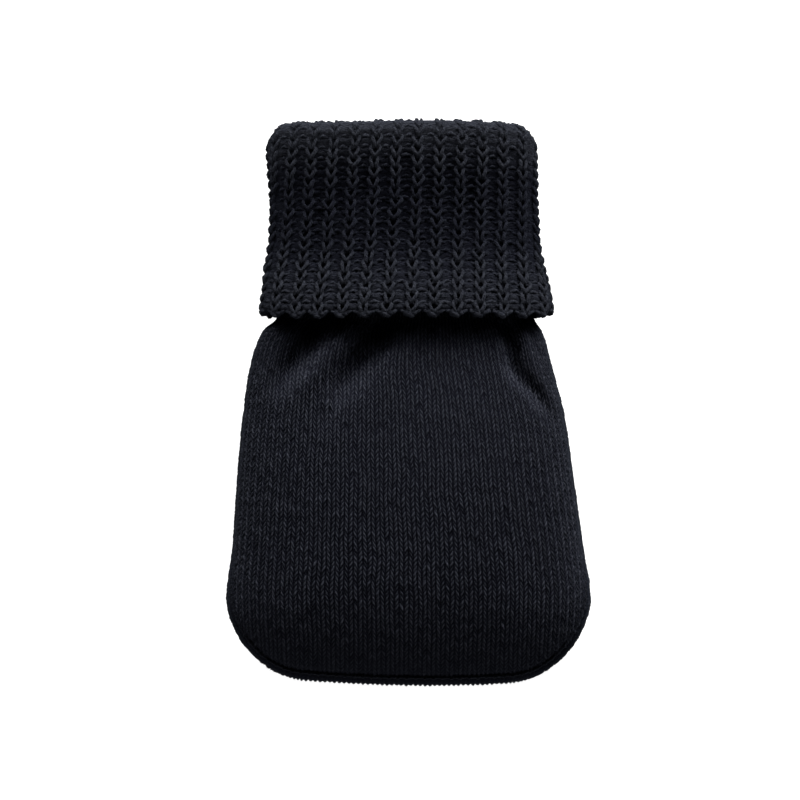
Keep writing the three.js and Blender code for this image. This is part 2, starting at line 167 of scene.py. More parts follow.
add_floor()
for panel in PANELS:
    add_panel_light(*panel)
world = bpy.data.worlds.new("soft light all round")
world.use_nodes = True
world.node_tree.nodes["Background"].inputs["Color"].default_value = FILL_COLOUR
world.node_tree.nodes["Background"].inputs["Strength"].default_value = FILL_STRENGTH
bpy.context.scene.world = world
bpy.context.scene.view_settings.view_transform = "Standard"
print(len(PANELS), "panels of light,", sum(panel[3] for panel in PANELS), "W in all")

# %% [markdown]
# ## Yarn
#
# The yarn is a near-black acrylic with a blue cast and no gloss. Fibres and the twist of the
# plies are far too fine to model, so they are bump and colour in the material. On the panels
# they run along the columns of stitches, and on the loops they wind round the yarn, because
# the material reads the UV map and not the place in the room. The hollows of the knit are dark
# with painted shade: each piece also carries how deep each of its places lies in the knit, as an
# attribute, with more painted shade added in some places, and the yarn's colour gets darker with it.

# %% Yarn materials
# The darkest fibre colour, and also the bluish colour that the painted shade darkens the hollows
# towards.
YARN_DARK_AND_PAINTED_SHADE = (0.0010, 0.0013, 0.0050, 1)
PANEL_LIGHT = (0.0330, 0.0357, 0.0458, 1)
# The rib is the same yarn as the panels; its light colour is painted darker than theirs, painted
# shade over the whole rib.
RIB_LIGHT_PAINTED_DARKER = (0.0255, 0.0277, 0.0350, 1)
YARN_ROUGHNESS = 0.85
YARN_SPECULAR = 0.08
SHEEN = 0.04
SHEEN_ROUGHNESS = 0.5
SHEEN_TINT = (0.70, 0.80, 1.0, 1)
DARK_FIBRES = 0.30
LIGHT_FIBRES = 0.68


def new_node(material, kind, **values):
    """A node of a material, with values for its sockets by name."""
    node = material.node_tree.nodes.new(kind)
    for socket, value in values.items():
        node.inputs[socket.replace("_", " ")].default_value = value
    return node


def link(material, source, output, target, socket):
    """Joins a node's output to another node's socket."""
    material.node_tree.links.new(source.outputs[output], target.inputs[socket])


def yarn_material(name, light, stretch, bump_distance, shallow, deep):
    """Black yarn: the UV map times stretch is the space of the fibres, and a noise in it gives
    both their colour, from dark to light, and their bump. The depth attribute paints shade on
    it: a depth of shallow or less leaves the colour as it is, and one of deep or more makes it
    dark: colour = dark mixed with light by the noise times a smooth step down from shallow to
    deep, which is the painted shade."""
    material = bpy.data.materials.new(name)
    material.use_nodes = True
    shader = principled(material)
    shader.inputs["Roughness"].default_value = YARN_ROUGHNESS
    shader.inputs["Sheen Weight"].default_value = SHEEN
    shader.inputs["Sheen Roughness"].default_value = SHEEN_ROUGHNESS
    shader.inputs["Sheen Tint"].default_value = SHEEN_TINT
    shader.inputs["Specular IOR Level"].default_value = YARN_SPECULAR
    uv = new_node(material, "ShaderNodeUVMap")
    uv.uv_map = "knit"
    mapping = new_node(material, "ShaderNodeMapping", Scale=stretch)
    link(material, uv, "UV", mapping, "Vector")
    fibres = new_node(material, "ShaderNodeTexNoise", Scale=1.0, Detail=3.0, Roughness=0.65)
    link(material, mapping, "Vector", fibres, "Vector")
    lit = new_node(material, "ShaderNodeMapRange")
    lit.inputs["From Min"].default_value = DARK_FIBRES
    lit.inputs["From Max"].default_value = LIGHT_FIBRES
    link(material, fibres, "Fac", lit, "Value")
    # Painted shade: the depth attribute of each piece darkens the colour in the hollows of the knit.
    depth = new_node(material, "ShaderNodeAttribute")
    depth.attribute_name = "depth"
    painted_hollow_shade = new_node(material, "ShaderNodeMapRange")
    painted_hollow_shade.interpolation_type = "SMOOTHSTEP"
    painted_hollow_shade.inputs["From Min"].default_value = deep
    painted_hollow_shade.inputs["From Max"].default_value = shallow
    link(material, depth, "Fac", painted_hollow_shade, "Value")
    blend = new_node(material, "ShaderNodeMath")
    blend.operation = "MULTIPLY"
    link(material, lit, "Result", blend, 0)
    link(material, painted_hollow_shade, "Result", blend, 1)
    colour = new_node(material, "ShaderNodeMix")
    colour.data_type = "RGBA"
    colour.inputs[6].default_value = YARN_DARK_AND_PAINTED_SHADE
    colour.inputs[7].default_value = light
    link(material, blend, "Value", colour, "Factor")
    material.node_tree.links.new(colour.outputs[2], shader.inputs["Base Color"])
    bump = new_node(material, "ShaderNodeBump", Strength=1.0, Distance=bump_distance)
    link(material, fibres, "Fac", bump, "Height")
    link(material, bump, "Normal", shader, "Normal")
    return material


stockinette_yarn = yarn_material(
    "black yarn of the panels", PANEL_LIGHT, (9.0, 2.6, 1.0), 0.0005, shallow=0.05, deep=0.64,
)
rib_yarn = yarn_material(
    "black yarn of the rib", RIB_LIGHT_PAINTED_DARKER, (1.5, 5.0, 1.0), 0.0012, shallow=0.4, deep=3.6,
)
print("materials:", stockinette_yarn.name, "and", rib_yarn.name)

# %% [markdown]
# ## The sections of the cover
#
# The shape of the pouch is a short table: at a few heights it says how far the outline reaches
# to the left and to the right, how high the face swells, and how the back turns up. These are
# the sizes that the solid model was made from, so the knit lies exactly on it.

# %% Sections of the pouch
def sections(columns, *rows):
    """A table as a dictionary that holds one array for each named column."""
    return dict(zip(columns.split(), np.array(rows, float).T))


POUCH = sections(
    "y left right face edge back back_round",
    (26.0, -33.8, 31.9, 17.0, 10.5, 3.9, 33),
    (21.8, -34.5, 32.7, 17.1, 10.4, 3.4, 31),
    (18.6, -38.0, 34.8, 17.6, 10.2, 2.6, 27),
    (10.5, -41.0, 37.1, 19.4, 9.8, 0.9, 17),
    (-2.0, -43.0, 40.4, 22.0, 9.0, 0, 10),
    (-19.1, -44.6, 43.0, 24.2, 8.6, 0, 9),
    (-37.8, -45.9, 45.6, 24.6, 8.4, 0, 9),
    (-50.3, -47.5, 47.5, 24.0, 8.2, 0, 9),
    (-73.7, -47.5, 47.5, 21.6, 8.0, 0, 9),
)
POUCH_TOP = 26.0
POUCH_BOTTOM = -73.7
WIDEST_Y = -50.3
LEFT_CORNER = 20.0
RIGHT_CORNER = 21.5
SAG_MIDDLE = 5.0
SAG_REACH = 30.0
SAG_DROP = 1.2
ROUNDNESS = 2.4
FACE_ROUND = 33.0
CLOTH = 2.2
SEAM_SIDE = 0.3
SEAM_BOTTOM = 1.9
SEAM_TURN_FROM = -36.0
SEAM_TURN_TO = -64.0


def along(table, column, y):
    """Value of a column at y: in each span between two rows, the cubic that runs through both
    with the slopes of their neighbours. It stays level beyond the first and the last row."""
    rows = table["y"]
    values = table[column]
    last = len(rows) - 1
    before = np.maximum(np.arange(last + 1) - 1, 0)
    after = np.minimum(np.arange(last + 1) + 1, last)
    slopes = (values[after] - values[before]) / (rows[after] - rows[before])
    y = np.clip(y, rows[-1], rows[0])
    row = np.clip(np.searchsorted(-rows, -y) - 1, 0, last - 1)
    span = rows[row + 1] - rows[row]
    rise = values[row + 1] - values[row]
    t = (y - rows[row]) / span
    start_pull = slopes[row] * span - rise
    end_pull = slopes[row + 1] * span - rise
    return values[row] + rise * t + t * (1 - t) * (start_pull * (1 - t) - end_pull * t)


def ramp(start, end, value):
    """0 before start, 1 past end, and between them 3 t squared less 2 t cubed."""
    t = np.clip((value - start) / (end - start), 0, 1)
    return t * t * (3 - 2 * t)


def rounded_rise(t):
    """Height of a rounded edge: (1 - (1 - t)^n)^(1/n), a quarter of a boxy ellipse."""
    inward = np.clip(t, 0, 1)
    return (1 - (1 - inward) ** ROUNDNESS) ** (1 / ROUNDNESS)


def running_length(*coordinates):
    """Length along a line up to each of its places: the sum of the root of the squared steps."""
    steps = np.linalg.norm([np.diff(values) for values in coordinates], axis=0)
    return np.concatenate([[0], np.cumsum(steps)])


def to_unit(vectors):
    """Each vector over its own length."""
    return vectors / np.linalg.norm(vectors, axis=-1, keepdims=True)


print("the pouch is", POUCH_TOP - POUCH_BOTTOM, "mm long from its neck to its lower edge")

# %% [markdown]
# ## Inside the outline
#
# Everything on the pouch is placed by its distance from the outline: the swell of the face,
# the turn of the back, and the seam. The distance is round in the two lower corners, so the
# seam follows the outline there by itself.

# %% Distance from the outline
TINY = 1e-9
END_ROUNDS = 12


def outline_at(x, y):
    """Middle, half width, corner radius and bottom of the outline at a place."""
    left = along(POUCH, "left", y)
    right = along(POUCH, "right", y)
    middle = (left + right) / 2
    radius = np.where(x < middle, LEFT_CORNER, RIGHT_CORNER)
    bottom = POUCH_BOTTOM + SAG_DROP * ((x - SAG_MIDDLE) / SAG_REACH) ** 2
    return middle, (right - left) / 2, radius, bottom


def corner_offsets(x, y):
    """Offsets of a place from the centre of its corner. Both are negative in the corner."""
    middle, half_width, radius, bottom = outline_at(x, y)
    from_side = half_width - radius - np.abs(x - middle)
    return from_side, y - bottom - radius, radius, np.where(x < middle, -1.0, 1.0)


def inset_at(x, y):
    """Distance inside the outline: radius less the distance from the corner's centre in the
    corner, level beside and above it, and smooth across the middle."""
    from_side, from_bottom, radius, _ = corner_offsets(x, y)
    apart = np.maximum(np.hypot(from_side, from_bottom), TINY)
    inside = from_side * from_bottom / apart
    corner = (from_side <= 0) & (from_bottom <= 0)
    cases = [corner, from_side <= 0, from_bottom <= 0]
    return radius + np.select(cases, [-apart, from_side, from_bottom], inside)


def inward_at(x, y):
    """Unit steps in x and y that lead into the pouch, square to the outline."""
    from_side, from_bottom, _, side = corner_offsets(x, y)
    corner = (from_side <= 0) & (from_bottom <= 0)
    cases = [corner, from_side <= 0, from_bottom <= 0]
    step_x = np.select(cases, [side * from_side, -side, 0.0 * side], -side * from_bottom**3)
    step_y = np.select(cases, [-from_bottom, 0.0 * side, 1.0 + 0.0 * side], from_side**3)
    length = np.maximum(np.hypot(step_x, step_y), TINY)
    return step_x / length, step_y / length


def seam_inset(y):
    """How far inside the outline the seam lies: on the side, it is hidden in the outline, and
    lower down it turns onto the face."""
    return SEAM_SIDE + (SEAM_BOTTOM - SEAM_SIDE) * ramp(SEAM_TURN_FROM, SEAM_TURN_TO, y)


def across_pouch(share, y, inset):
    """The x at a share of the width, from -1 to 1 between two lines inset from the outline:
    middle plus share times the half width less the inset."""
    middle, half_width, _, _ = outline_at(0.0 * y, y)
    return middle + share * (half_width - inset)


def column_end(across, inset_of):
    """Lowest y of the columns that end at these shares of the width, on the line that lies
    inset_of(y) inside the outline: bottom plus radius, less the root of the corner's radius
    squared less the way past its centre squared. Each round starts from the last one's y."""
    y = np.full(np.shape(across), POUCH_BOTTOM)
    for _ in range(END_ROUNDS):
        inset = inset_of(y)
        x = across_pouch(across, WIDEST_Y + 0.0 * y, inset)
        middle, half_width, radius, bottom = outline_at(x, WIDEST_Y + 0.0 * y)
        past_corner = np.maximum(np.abs(x - middle) - (half_width - radius), 0)
        depth = np.sqrt(np.maximum((radius - inset) ** 2 - past_corner**2, 0))
        y = bottom + radius - depth
    return y


print("the middle of the pouch is", round(float(inset_at(0.0, -20.0)), 1), "mm inside its outline")

# %% [markdown]
# ## The face and its folds
#
# The face swells like a filled pillow. Where the collar draws it in, soft troughs and ridges
# run down from the neck. Each is a line on the face with a width and a height, given one by
# one, and its section is a bell. A cloth simulation would find folds of its own, and not these.

# %% Folds and heights
FOLDS = [
    ("left outer trough", (-24.8, 18.5), (-32.5, 6), 3.0, -4.2),
    ("left ridge", (-17.8, 16), (-28, 2.5), 2.8, 1.2),
    ("left inner trough", (-7.2, 18.5), (-16.6, 5.5), 3.7, -4.2),
    ("left inner foot", (-17, 6), (-21, -4), 2.2, -1.2),
    ("middle rise", (-1.5, 15), (-8, 0), 3.6, 0.6),
    ("right trough", (26.0, 18.5), (27.9, 8.0), 1.8, -3.4),
    ("right foot", (28.6, 7.5), (38.2, -3.6), 2.0, -1.8),
    ("right lobe", (31.8, 15), (35, 6), 2.6, 0.9),
]
FOLD_FADE = 7.0
FOLD_TOP = 23.0
FOLD_START = (-0.6, 0.1)
FOLD_END = (0.5, 1.5)


def folds_at(x, y):
    """Sum of the folds: height times a bell across the line, exp(-(offset / width) squared),
    which sets in above the line's start and dies out past its middle."""
    total = np.zeros(np.shape(x))
    for _, start, end, width, height in FOLDS:
        run = np.subtract(end, start)
        length = np.hypot(*run)
        run = run / length
        share = ((x - start[0]) * run[0] + (y - start[1]) * run[1]) / length
        across = ((x - start[0]) * run[1] - (y - start[1]) * run[0]) / width
        held = ramp(*FOLD_START, share) * (1 - ramp(*FOLD_END, share))
        total += height * held * np.exp(-across**2)
    return total * ramp(0, FOLD_FADE, inset_at(x, y)) * ramp(POUCH_TOP, FOLD_TOP, y)


def face_height(x, y, inset=None):
    """Height of the face: a rounded rise from the widest line, with the folds on it."""
    inset = inset_at(x, y) if inset is None else inset
    edge = along(POUCH, "edge", y)
    face = along(POUCH, "face", y)
    return edge + (face - edge) * rounded_rise(inset / FACE_ROUND) + folds_at(x, y)


def back_height(inset, y):
    """Height of the back: flat on the floor, with a rounded turn up to the widest line."""
    edge = along(POUCH, "edge", y)
    back = np.maximum(along(POUCH, "back", y), 0)
    turn = along(POUCH, "back_round", y)
    return edge - (edge - back) * rounded_rise(inset / turn)


print("the face swells to", round(float(face_height(0.0, -37.8)), 1), "mm above the floor")

# %% [markdown]
# ## The back, laid out flat
#
# The back panel runs flat under the cover, turns up round its edge and meets the front panel
# at the seam. To give it stitches of one size, it is laid out flat first: a table says, for
# each distance inside the outline of the flat cloth, where that thread of the cloth ends up on
# the rounded edge. Its distances are measured along the curve, so no stitch is stretched.

# %% Table of the turned edge
TURN_ROWS = np.linspace(POUCH_BOTTOM, POUCH_TOP, 64)
FLAT_INSETS = np.linspace(-18.0, 40.0, 1161)
TURN_ANGLES = np.linspace(0, math.pi / 2, 400)
SEAM_GAP = 0.45


def turn_table():
    """For each row of heights and each flat inset, the inset on the solid: positive on the
    back, zero at the widest line, negative past it on the face. Both curves are boxy ellipses,
    reach times (1 - cos(angle)^(2/n)), and the flat inset is the length along them."""
    inward = 1 - np.cos(TURN_ANGLES) ** (2 / ROUNDNESS)
    upward = np.sin(TURN_ANGLES) ** (2 / ROUNDNESS)
    table = []
    for y in TURN_ROWS:
        turn = along(POUCH, "back_round", y)
        edge = along(POUCH, "edge", y)
        drop = edge - max(along(POUCH, "back", y), 0)
        rise = along(POUCH, "face", y) - edge
        below = np.cumsum(np.hypot(np.diff(turn * inward), np.diff(drop * upward)))
        above = np.cumsum(np.hypot(np.diff(FACE_ROUND * inward), np.diff(rise * upward)))
        widest = turn - below[-1]
        flat = np.concatenate([(widest - above)[::-1], [widest], widest + below])
        solid = np.concatenate([-(FACE_ROUND * inward)[:0:-1], turn * inward])
        row = np.interp(FLAT_INSETS, flat, solid)
        table.append(np.where(FLAT_INSETS > turn, FLAT_INSETS, row))
    return np.array(table)


TURN_TABLE = turn_table()


def solid_inset(flat_inset, y):
    """The table read at a flat inset and a height, even between its rows and columns."""
    rows = (np.clip(y, POUCH_BOTTOM, POUCH_TOP) - TURN_ROWS[0]) / (TURN_ROWS[1] - TURN_ROWS[0])
    columns = (flat_inset - FLAT_INSETS[0]) / (FLAT_INSETS[1] - FLAT_INSETS[0])
    row = np.clip(rows.astype(int), 0, len(TURN_ROWS) - 2)
    column = np.clip(columns.astype(int), 0, len(FLAT_INSETS) - 2)
    down = rows - row
    right = columns - column
    upper = TURN_TABLE[row, column] * (1 - right) + TURN_TABLE[row, column + 1] * right
    lower = TURN_TABLE[row + 1, column] * (1 - right) + TURN_TABLE[row + 1, column + 1] * right
    return upper * (1 - down) + lower * down


def flat_seam_inset(y):
    """Flat inset at which the back panel ends, a little short of the seam on the face."""
    ends = [
        np.interp(-float(seam_inset(row)) + SEAM_GAP / 3, solid, FLAT_INSETS)
        for row, solid in zip(TURN_ROWS, TURN_TABLE)
    ]
    return np.interp(y, TURN_ROWS, ends)


def front_place(x, y):
    """A place of the front panel's cloth, as x, y and z."""
    return np.stack([x, y, face_height(x, y)], -1)


def back_place(flat_x, flat_y):
    """A place of the back panel's cloth: its flat place moved in, square to the outline, by
    the difference between its flat inset and its inset on the solid."""
    flat_inset = inset_at(flat_x, flat_y)
    solid = solid_inset(flat_inset, flat_y)
    inward_x, inward_y = inward_at(flat_x, flat_y)
    shift = np.abs(solid) - flat_inset
    x = flat_x + inward_x * shift
    y = flat_y + inward_y * shift
    z = np.where(solid > 0, back_height(solid, y), face_height(x, y, -solid))
    return np.stack([x, y, z], -1)


print("the back reaches", round(-float(flat_seam_inset(-73.0)), 1), "mm past the outline laid flat")

# %% [markdown]
# ## A panel of stockinette
#
# Stockinette is columns of slanted legs, two to a stitch, which meet in a chain of arrowheads.
# The loops behind them never show, so each panel is one closed sheet whose outer side has the
# legs in relief, and not thousands of separate loops. The grid follows the knitting: six
# columns to a stitch and a few rows to a course, and the rows zigzag with the legs. Columns
# that run into the seam stop exactly on it. The inner side is a coarser copy, one thickness in,
# and a strip of triangles joins the two rims.

# %% Grid of a panel
LEG_SLANT = 1.5
COLUMNS_A_STITCH = 6
COURSE = 1.27
INNER_COLUMNS = 3
INNER_ROWS = 5
SLOPE_STEP = 0.02


def surface_normals(place, x, y, side):
    """Unit normals: the cross product of the slopes of place in x and in y."""
    step = SLOPE_STEP
    slope_x = place(x + step, y) - place(x - step, y)
    slope_y = place(x, y + step) - place(x, y - step)
    return to_unit(side * np.cross(slope_x, slope_y))


def panel_grid(wales, rows_a_course, courses, row_y, column_x, end_y):
    """Places of the knitted grid, and each column's first and last row. Row k of a column lies
    at row_y of its course number, which is k over the rows in a course plus the slant times
    how far the column is from the middle of its stitch."""
    columns = np.arange(wales * COLUMNS_A_STITCH + 1)
    rows = np.arange(courses * rows_a_course + 1)
    phase = (columns / COLUMNS_A_STITCH) % 1.0
    slant = LEG_SLANT * (np.abs(2 * phase - 1) - 1)
    course = rows[:, None] / rows_a_course + slant[None, :]
    y = row_y(course)
    margin = COURSE / rows_a_course / 3
    first = np.argmax(y < POUCH_TOP - margin, axis=0) - 1
    last = np.argmax(y < end_y + margin, axis=0)
    y = np.where(rows[:, None] <= first, POUCH_TOP, np.where(rows[:, None] >= last, end_y, y))
    return column_x(columns / COLUMNS_A_STITCH, y), y, course, first, last


def cut_cells(a, b, c, d):
    """Both triangles of each cell of a grid, a b c and a c d, from its corners in turn."""
    halves = [np.stack([a, b, c], -1), np.stack([a, c, d], -1)]
    return np.concatenate([half.reshape(-1, 3) for half in halves])


def clipped_faces(numbers, first, last, facing_up):
    """Triangles of a grid whose columns start and stop at their own rows: each cell is cut in
    two, rows past a column's end take its end vertex, and triangles left flat are dropped."""
    rows, columns = numbers.shape
    held = np.clip(np.arange(rows)[:, None], first, last)
    at = numbers[held, np.arange(columns)]
    faces = cut_cells(at[:-1, :-1], at[1:, :-1], at[1:, 1:], at[:-1, 1:])
    faces = faces[(faces != np.roll(faces, 1, axis=1)).all(axis=1)]
    return faces if facing_up else faces[:, ::-1]


def rim_of(numbers, first, last, row_numbers, column_numbers):
    """The rim of a clipped grid as vertex numbers, with a station for each: 0 to 1 down the
    left side, to 2 along the seam, to 3 up the right side and to 4 along the top."""
    def down(column):
        held = slice(first[column], last[column] + 1)
        return numbers[held, column], row_numbers[held]

    def share(values):
        return (values - values[0]) / (values[-1] - values[0])

    columns = np.arange(numbers.shape[1])
    across = share(column_numbers)
    left, left_rows = down(0)
    right, right_rows = down(-1)
    seam = numbers[last, columns]
    top = numbers[first, columns]
    vertices = np.concatenate([left[:-1], seam[:-1], right[:0:-1], top[:0:-1]])
    stations = np.concatenate([
        share(left_rows)[:-1],
        1 + across[:-1],
        3 - share(right_rows)[:0:-1],
        4 - across[:0:-1],
    ])
    return vertices, stations


def joined_rims(outer, outer_stations, inner, inner_stations):
    """A strip of triangles between two rims that run the same way round. Each step along one
    rim makes a triangle with the last vertex passed on the other."""
    on_inner = np.searchsorted(inner_stations, np.append(outer_stations[1:], 4.0), side="right") - 1
    step_outer = np.stack([np.roll(outer, -1), outer, inner[on_inner]], -1)
    on_outer = np.searchsorted(outer_stations, inner_stations[1:], side="left") - 1
    passed = np.append(outer[on_outer], outer[0])
    step_inner = np.stack([inner, np.roll(inner, -1), passed], -1)
    return np.concatenate([step_outer, step_inner])


def open_edges(faces):
    """How many edges of a mesh have no face running the other way along them."""
    edges = np.concatenate([faces[:, [0, 1]], faces[:, [1, 2]], faces[:, [2, 0]]]).astype(np.int64)
    size = int(faces.max()) + 1
    there = edges[:, 0] * size + edges[:, 1]
    back = edges[:, 1] * size + edges[:, 0]
    return int(len(there) - np.isin(there, back).sum() + len(there) - len(np.unique(there)))


# %% [markdown]
# ## Relief of the legs
#
# The deepest lines of stockinette run up and down, between the two legs of a stitch and
# between neighbouring stitches. Shallower notches part one leg from the next below it. Real
# yarn is never even, so each leg is a little higher or lower than its neighbours. The random
# numbers come from a fixed seed, so the cloth is the same each time.

# %% Relief of the legs
GROOVE_DEPTH = 0.86
MIDDLE_GROOVE_DEPTH = 0.70
NOTCH_DEPTH = 0.66
UNEVEN_LEGS = 0.12
UNEVEN_CLOTH = 0.03
UNEVEN_FUZZ = 0.035
SEAM_DIP = 1.2
SEAM_DIP_REACH = 1.7
SIDE_DIP = 0.2
# Painted shade: the back panel's rim next to the seam is painted darker, over this reach.
RIM_PAINTED_SHADE = 0.62
RIM_PAINTED_SHADE_REACH = 4.5
RIM_PAINTED_SHADE_FROM = 0.6
EDGE_CALM = 0.62
EDGE_CALM_REACH = 14.0
LEG_ROUNDNESS = 0.6
NOTCH_ROUNDNESS = 0.7
LEG_TABLE = 128
SEAM_SMOOTH = 0.5
CLOTH_WAVE = 9.0
# Painted shade: a fixed one on the inner side of each panel.
INNER_PAINTED_SHADE = 0.3
WAVES = 8


def leg_relief(wale, course, seed):
    """Depth below the highest part of the legs. Across, a leg is a half sine to the power 0.6
    between its two grooves. Along it, a half sine to the power 0.7 between its two notches."""
    phase = wale % 1.0
    leg = (2 * phase) % 1.0
    rounded = np.sin(math.pi * leg) ** LEG_ROUNDNESS
    depth = np.where(np.abs(phase - 0.5) < 0.25, MIDDLE_GROOVE_DEPTH, GROOVE_DEPTH)
    notch = np.sin(math.pi * (course % 1.0)) ** NOTCH_ROUNDNESS
    random = np.random.default_rng(seed).normal(0, UNEVEN_LEGS, (LEG_TABLE, LEG_TABLE))
    course_number = np.floor(course).astype(int) % LEG_TABLE
    leg_number = np.floor(2 * wale).astype(int) % LEG_TABLE
    uneven = random[course_number, leg_number]
    return -depth * (1 - rounded) - NOTCH_DEPTH * (1 - notch) * rounded + uneven * rounded


def slow_waves(x, y, seed, size, length):
    """Gentle unevenness: size times a sum of sine waves of random direction, start and
    length, over the root of their number."""
    random = np.random.default_rng(seed)
    total = 0.0 * x
    for _ in range(WAVES):
        angle = random.uniform(0, 2 * math.pi)
        wave = 2 * math.pi / (length * random.uniform(0.7, 1.6))
        start = random.uniform(0, 2 * math.pi)
        total = total + np.sin(wave * (x * math.cos(angle) + y * math.sin(angle)) + start)
    return size * total / math.sqrt(WAVES)


print("the deepest grooves are", GROOVE_DEPTH, "mm deep and a course is", COURSE, "mm high")

# %% [markdown]
# ## From numbers to a mesh
#
# Every piece goes through one function: it moves the millimetres of the lesson to the metres
# of the model, which has its origin in the middle of the outline, and fills the mesh in one
# go. Each corner also gets its place in the knitting as a UV map, and each vertex its depth in
# the knit in millimetres, with painted shade added in some places. The yarn's material reads
# both, so that the fibres follow the legs and the loops, and the hollows get painted shade.

# %% Mesh helper
pouch_low, pouch_high = (1000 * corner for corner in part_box("back_panel"))
SHIFT = np.array([
    (pouch_low.x + pouch_high.x) / 2 - (POUCH["left"][-1] + POUCH["right"][-1]) / 2,
    pouch_low.y - POUCH_BOTTOM,
    0.0,
])
TO_METRES = 0.001
FUZZ_SEED_STEP = 50


def add_piece(name, places, faces, uv, depth, material, uv_a_corner=False):
    """A smooth mesh object at the origin from places in millimetres and triangles."""
    mesh = bpy.data.meshes.new(name)
    mesh.vertices.add(len(places))
    mesh.vertices.foreach_set("co", ((places + SHIFT) * TO_METRES).astype(np.float32).ravel())
    mesh.loops.add(faces.size)
    mesh.loops.foreach_set("vertex_index", faces.astype(np.int32).ravel())
    mesh.polygons.add(len(faces))
    mesh.polygons.foreach_set("loop_start", np.arange(0, faces.size, 3, dtype=np.int32))
    mesh.update(calc_edges=True)
    mesh.validate()
    layer = mesh.uv_layers.new(name="knit")
    corners = uv if uv_a_corner else uv[faces.ravel()]
    layer.data.foreach_set("uv", corners.astype(np.float32).ravel())
    attribute = mesh.attributes.new("depth", "FLOAT", "POINT")
    attribute.data.foreach_set("value", depth.astype(np.float32).ravel())
    mesh.polygons.foreach_set("use_smooth", np.ones(len(faces), bool))
    mesh.materials.append(material)
    piece = bpy.data.objects.new(name, mesh)
    bpy.context.scene.collection.objects.link(piece)
    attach(piece, BODY)
    a, b, c = (places[faces[:, corner]] for corner in range(3))
    volume = np.einsum("ij,ij->", a, np.cross(b, c)) / 6000
    print(name, len(faces), "triangles,", open_edges(faces), "open edges,", round(volume, 1), "cm3")
    return piece


def add_panel(
    name, place, side, wales, rows_a_course, courses, row_y, column_x, end_y, seam_of, seed,
):
    """A closed panel: the knitted outer side, the coarse inner side and the rim between. Each
    outer place is the cloth's own, moved along its normal by the relief of the legs, the fuzz
    and the slow waves, and sunk near the seam by the dip times (1 - way to the seam) squared."""
    x, y, course, first, last = panel_grid(wales, rows_a_course, courses, row_y, column_x, end_y)
    rows, columns = x.shape
    base = place(x, y)
    normals = surface_normals(place, x, y, side)
    wale = np.broadcast_to(np.arange(columns) / COLUMNS_A_STITCH, x.shape)
    straight = course - LEG_SLANT * (np.abs(2 * (wale % 1.0) - 1) - 1)
    to_seam = np.maximum(inset_at(x, y) - seam_of(y), 0)
    on_face = SIDE_DIP + (1 - SIDE_DIP) * ramp(SEAM_TURN_FROM, SEAM_TURN_TO, y)
    dip = SEAM_DIP * on_face * (1 - np.clip(to_seam / SEAM_DIP_REACH, 0, 1)) ** 2
    calm = 1 if side > 0 else 1 - EDGE_CALM * (1 - ramp(0, EDGE_CALM_REACH, to_seam))
    off_seam = ramp(0, SEAM_SMOOTH, to_seam)
    relief = leg_relief(wale, straight, seed) * calm * off_seam - dip
    random = np.random.default_rng(seed + FUZZ_SEED_STEP)
    fuzz = random.normal(0, UNEVEN_FUZZ, x.shape) * off_seam
    waves = slow_waves(x, y, seed, UNEVEN_CLOTH, CLOTH_WAVE)
    outer = base + normals * (relief + fuzz + waves)[..., None]

    used_columns = np.arange(0, columns, INNER_COLUMNS)
    used_rows = np.unique(np.append(np.arange(0, rows, INNER_ROWS), rows - 1))
    inner_first = np.searchsorted(used_rows, first[used_columns], side="right") - 1
    inner_last = np.searchsorted(used_rows, last[used_columns], side="left")
    held = np.clip(used_rows[:, None], first[used_columns], last[used_columns])
    inner = (base - normals * CLOTH)[held, used_columns]

    numbers = np.arange(rows * columns).reshape(rows, columns)
    inner_numbers = rows * columns + np.arange(inner[..., 0].size).reshape(inner.shape[:2])
    faces = clipped_faces(numbers, first, last, side > 0)
    inner_faces = clipped_faces(inner_numbers, inner_first, inner_last, side < 0)
    rim = rim_of(numbers, first, last, np.arange(rows), np.arange(columns))
    inner_rim = rim_of(inner_numbers, inner_first, inner_last, used_rows, used_columns)
    strip = joined_rims(*rim, *inner_rim)
    strip = strip if side > 0 else strip[:, ::-1]

    places = np.concatenate([outer.reshape(-1, 3), inner.reshape(-1, 3)])
    # Painted shade: the depth attribute is the relief's depth below the legs, so grooves, notches
    # and the seam's dip are painted darker, and the back panel's rim near the seam gets more painted
    # shade.
    painted_rim_shade_share = 1 - ramp(RIM_PAINTED_SHADE_FROM, RIM_PAINTED_SHADE_REACH, to_seam)
    shade = RIM_PAINTED_SHADE * on_face * painted_rim_shade_share if side < 0 else 0.0
    depth = np.concatenate([(shade - relief).ravel(), np.full(inner[..., 0].size, INNER_PAINTED_SHADE)])
    uv = np.stack([wale, straight], -1).reshape(-1, 2)
    inner_uv = np.stack(np.meshgrid(used_columns / COLUMNS_A_STITCH, used_rows / rows_a_course), -1)
    uv = np.concatenate([uv, inner_uv.reshape(-1, 2)])
    faces = np.concatenate([faces, inner_faces, strip])
    kept = np.unique(faces)
    renumber = np.zeros(len(places), int)
    renumber[kept] = np.arange(len(kept))
    return add_piece(name, places[kept], renumber[faces], uv[kept], depth[kept], stockinette_yarn)


# %% [markdown]
# ## The front panel
#
# Every column of stitches of the pouch starts at the neck and runs down to the seam, and none
# is added on the way. So the columns fan out where the pouch widens. Their spacing is even
# along the curved face, which makes them look closer together near the two sides.

# %% Front panel
FRONT_WALES = 43
FRONT_COURSES = 90
FRONT_SEED = 11
SPACING_Y = -30.0
WANDER = 0.16
WANDER_WAVE = 14.0
WANDER_SEED = 13
WANDER_FADE = (-66.0, -56.0)


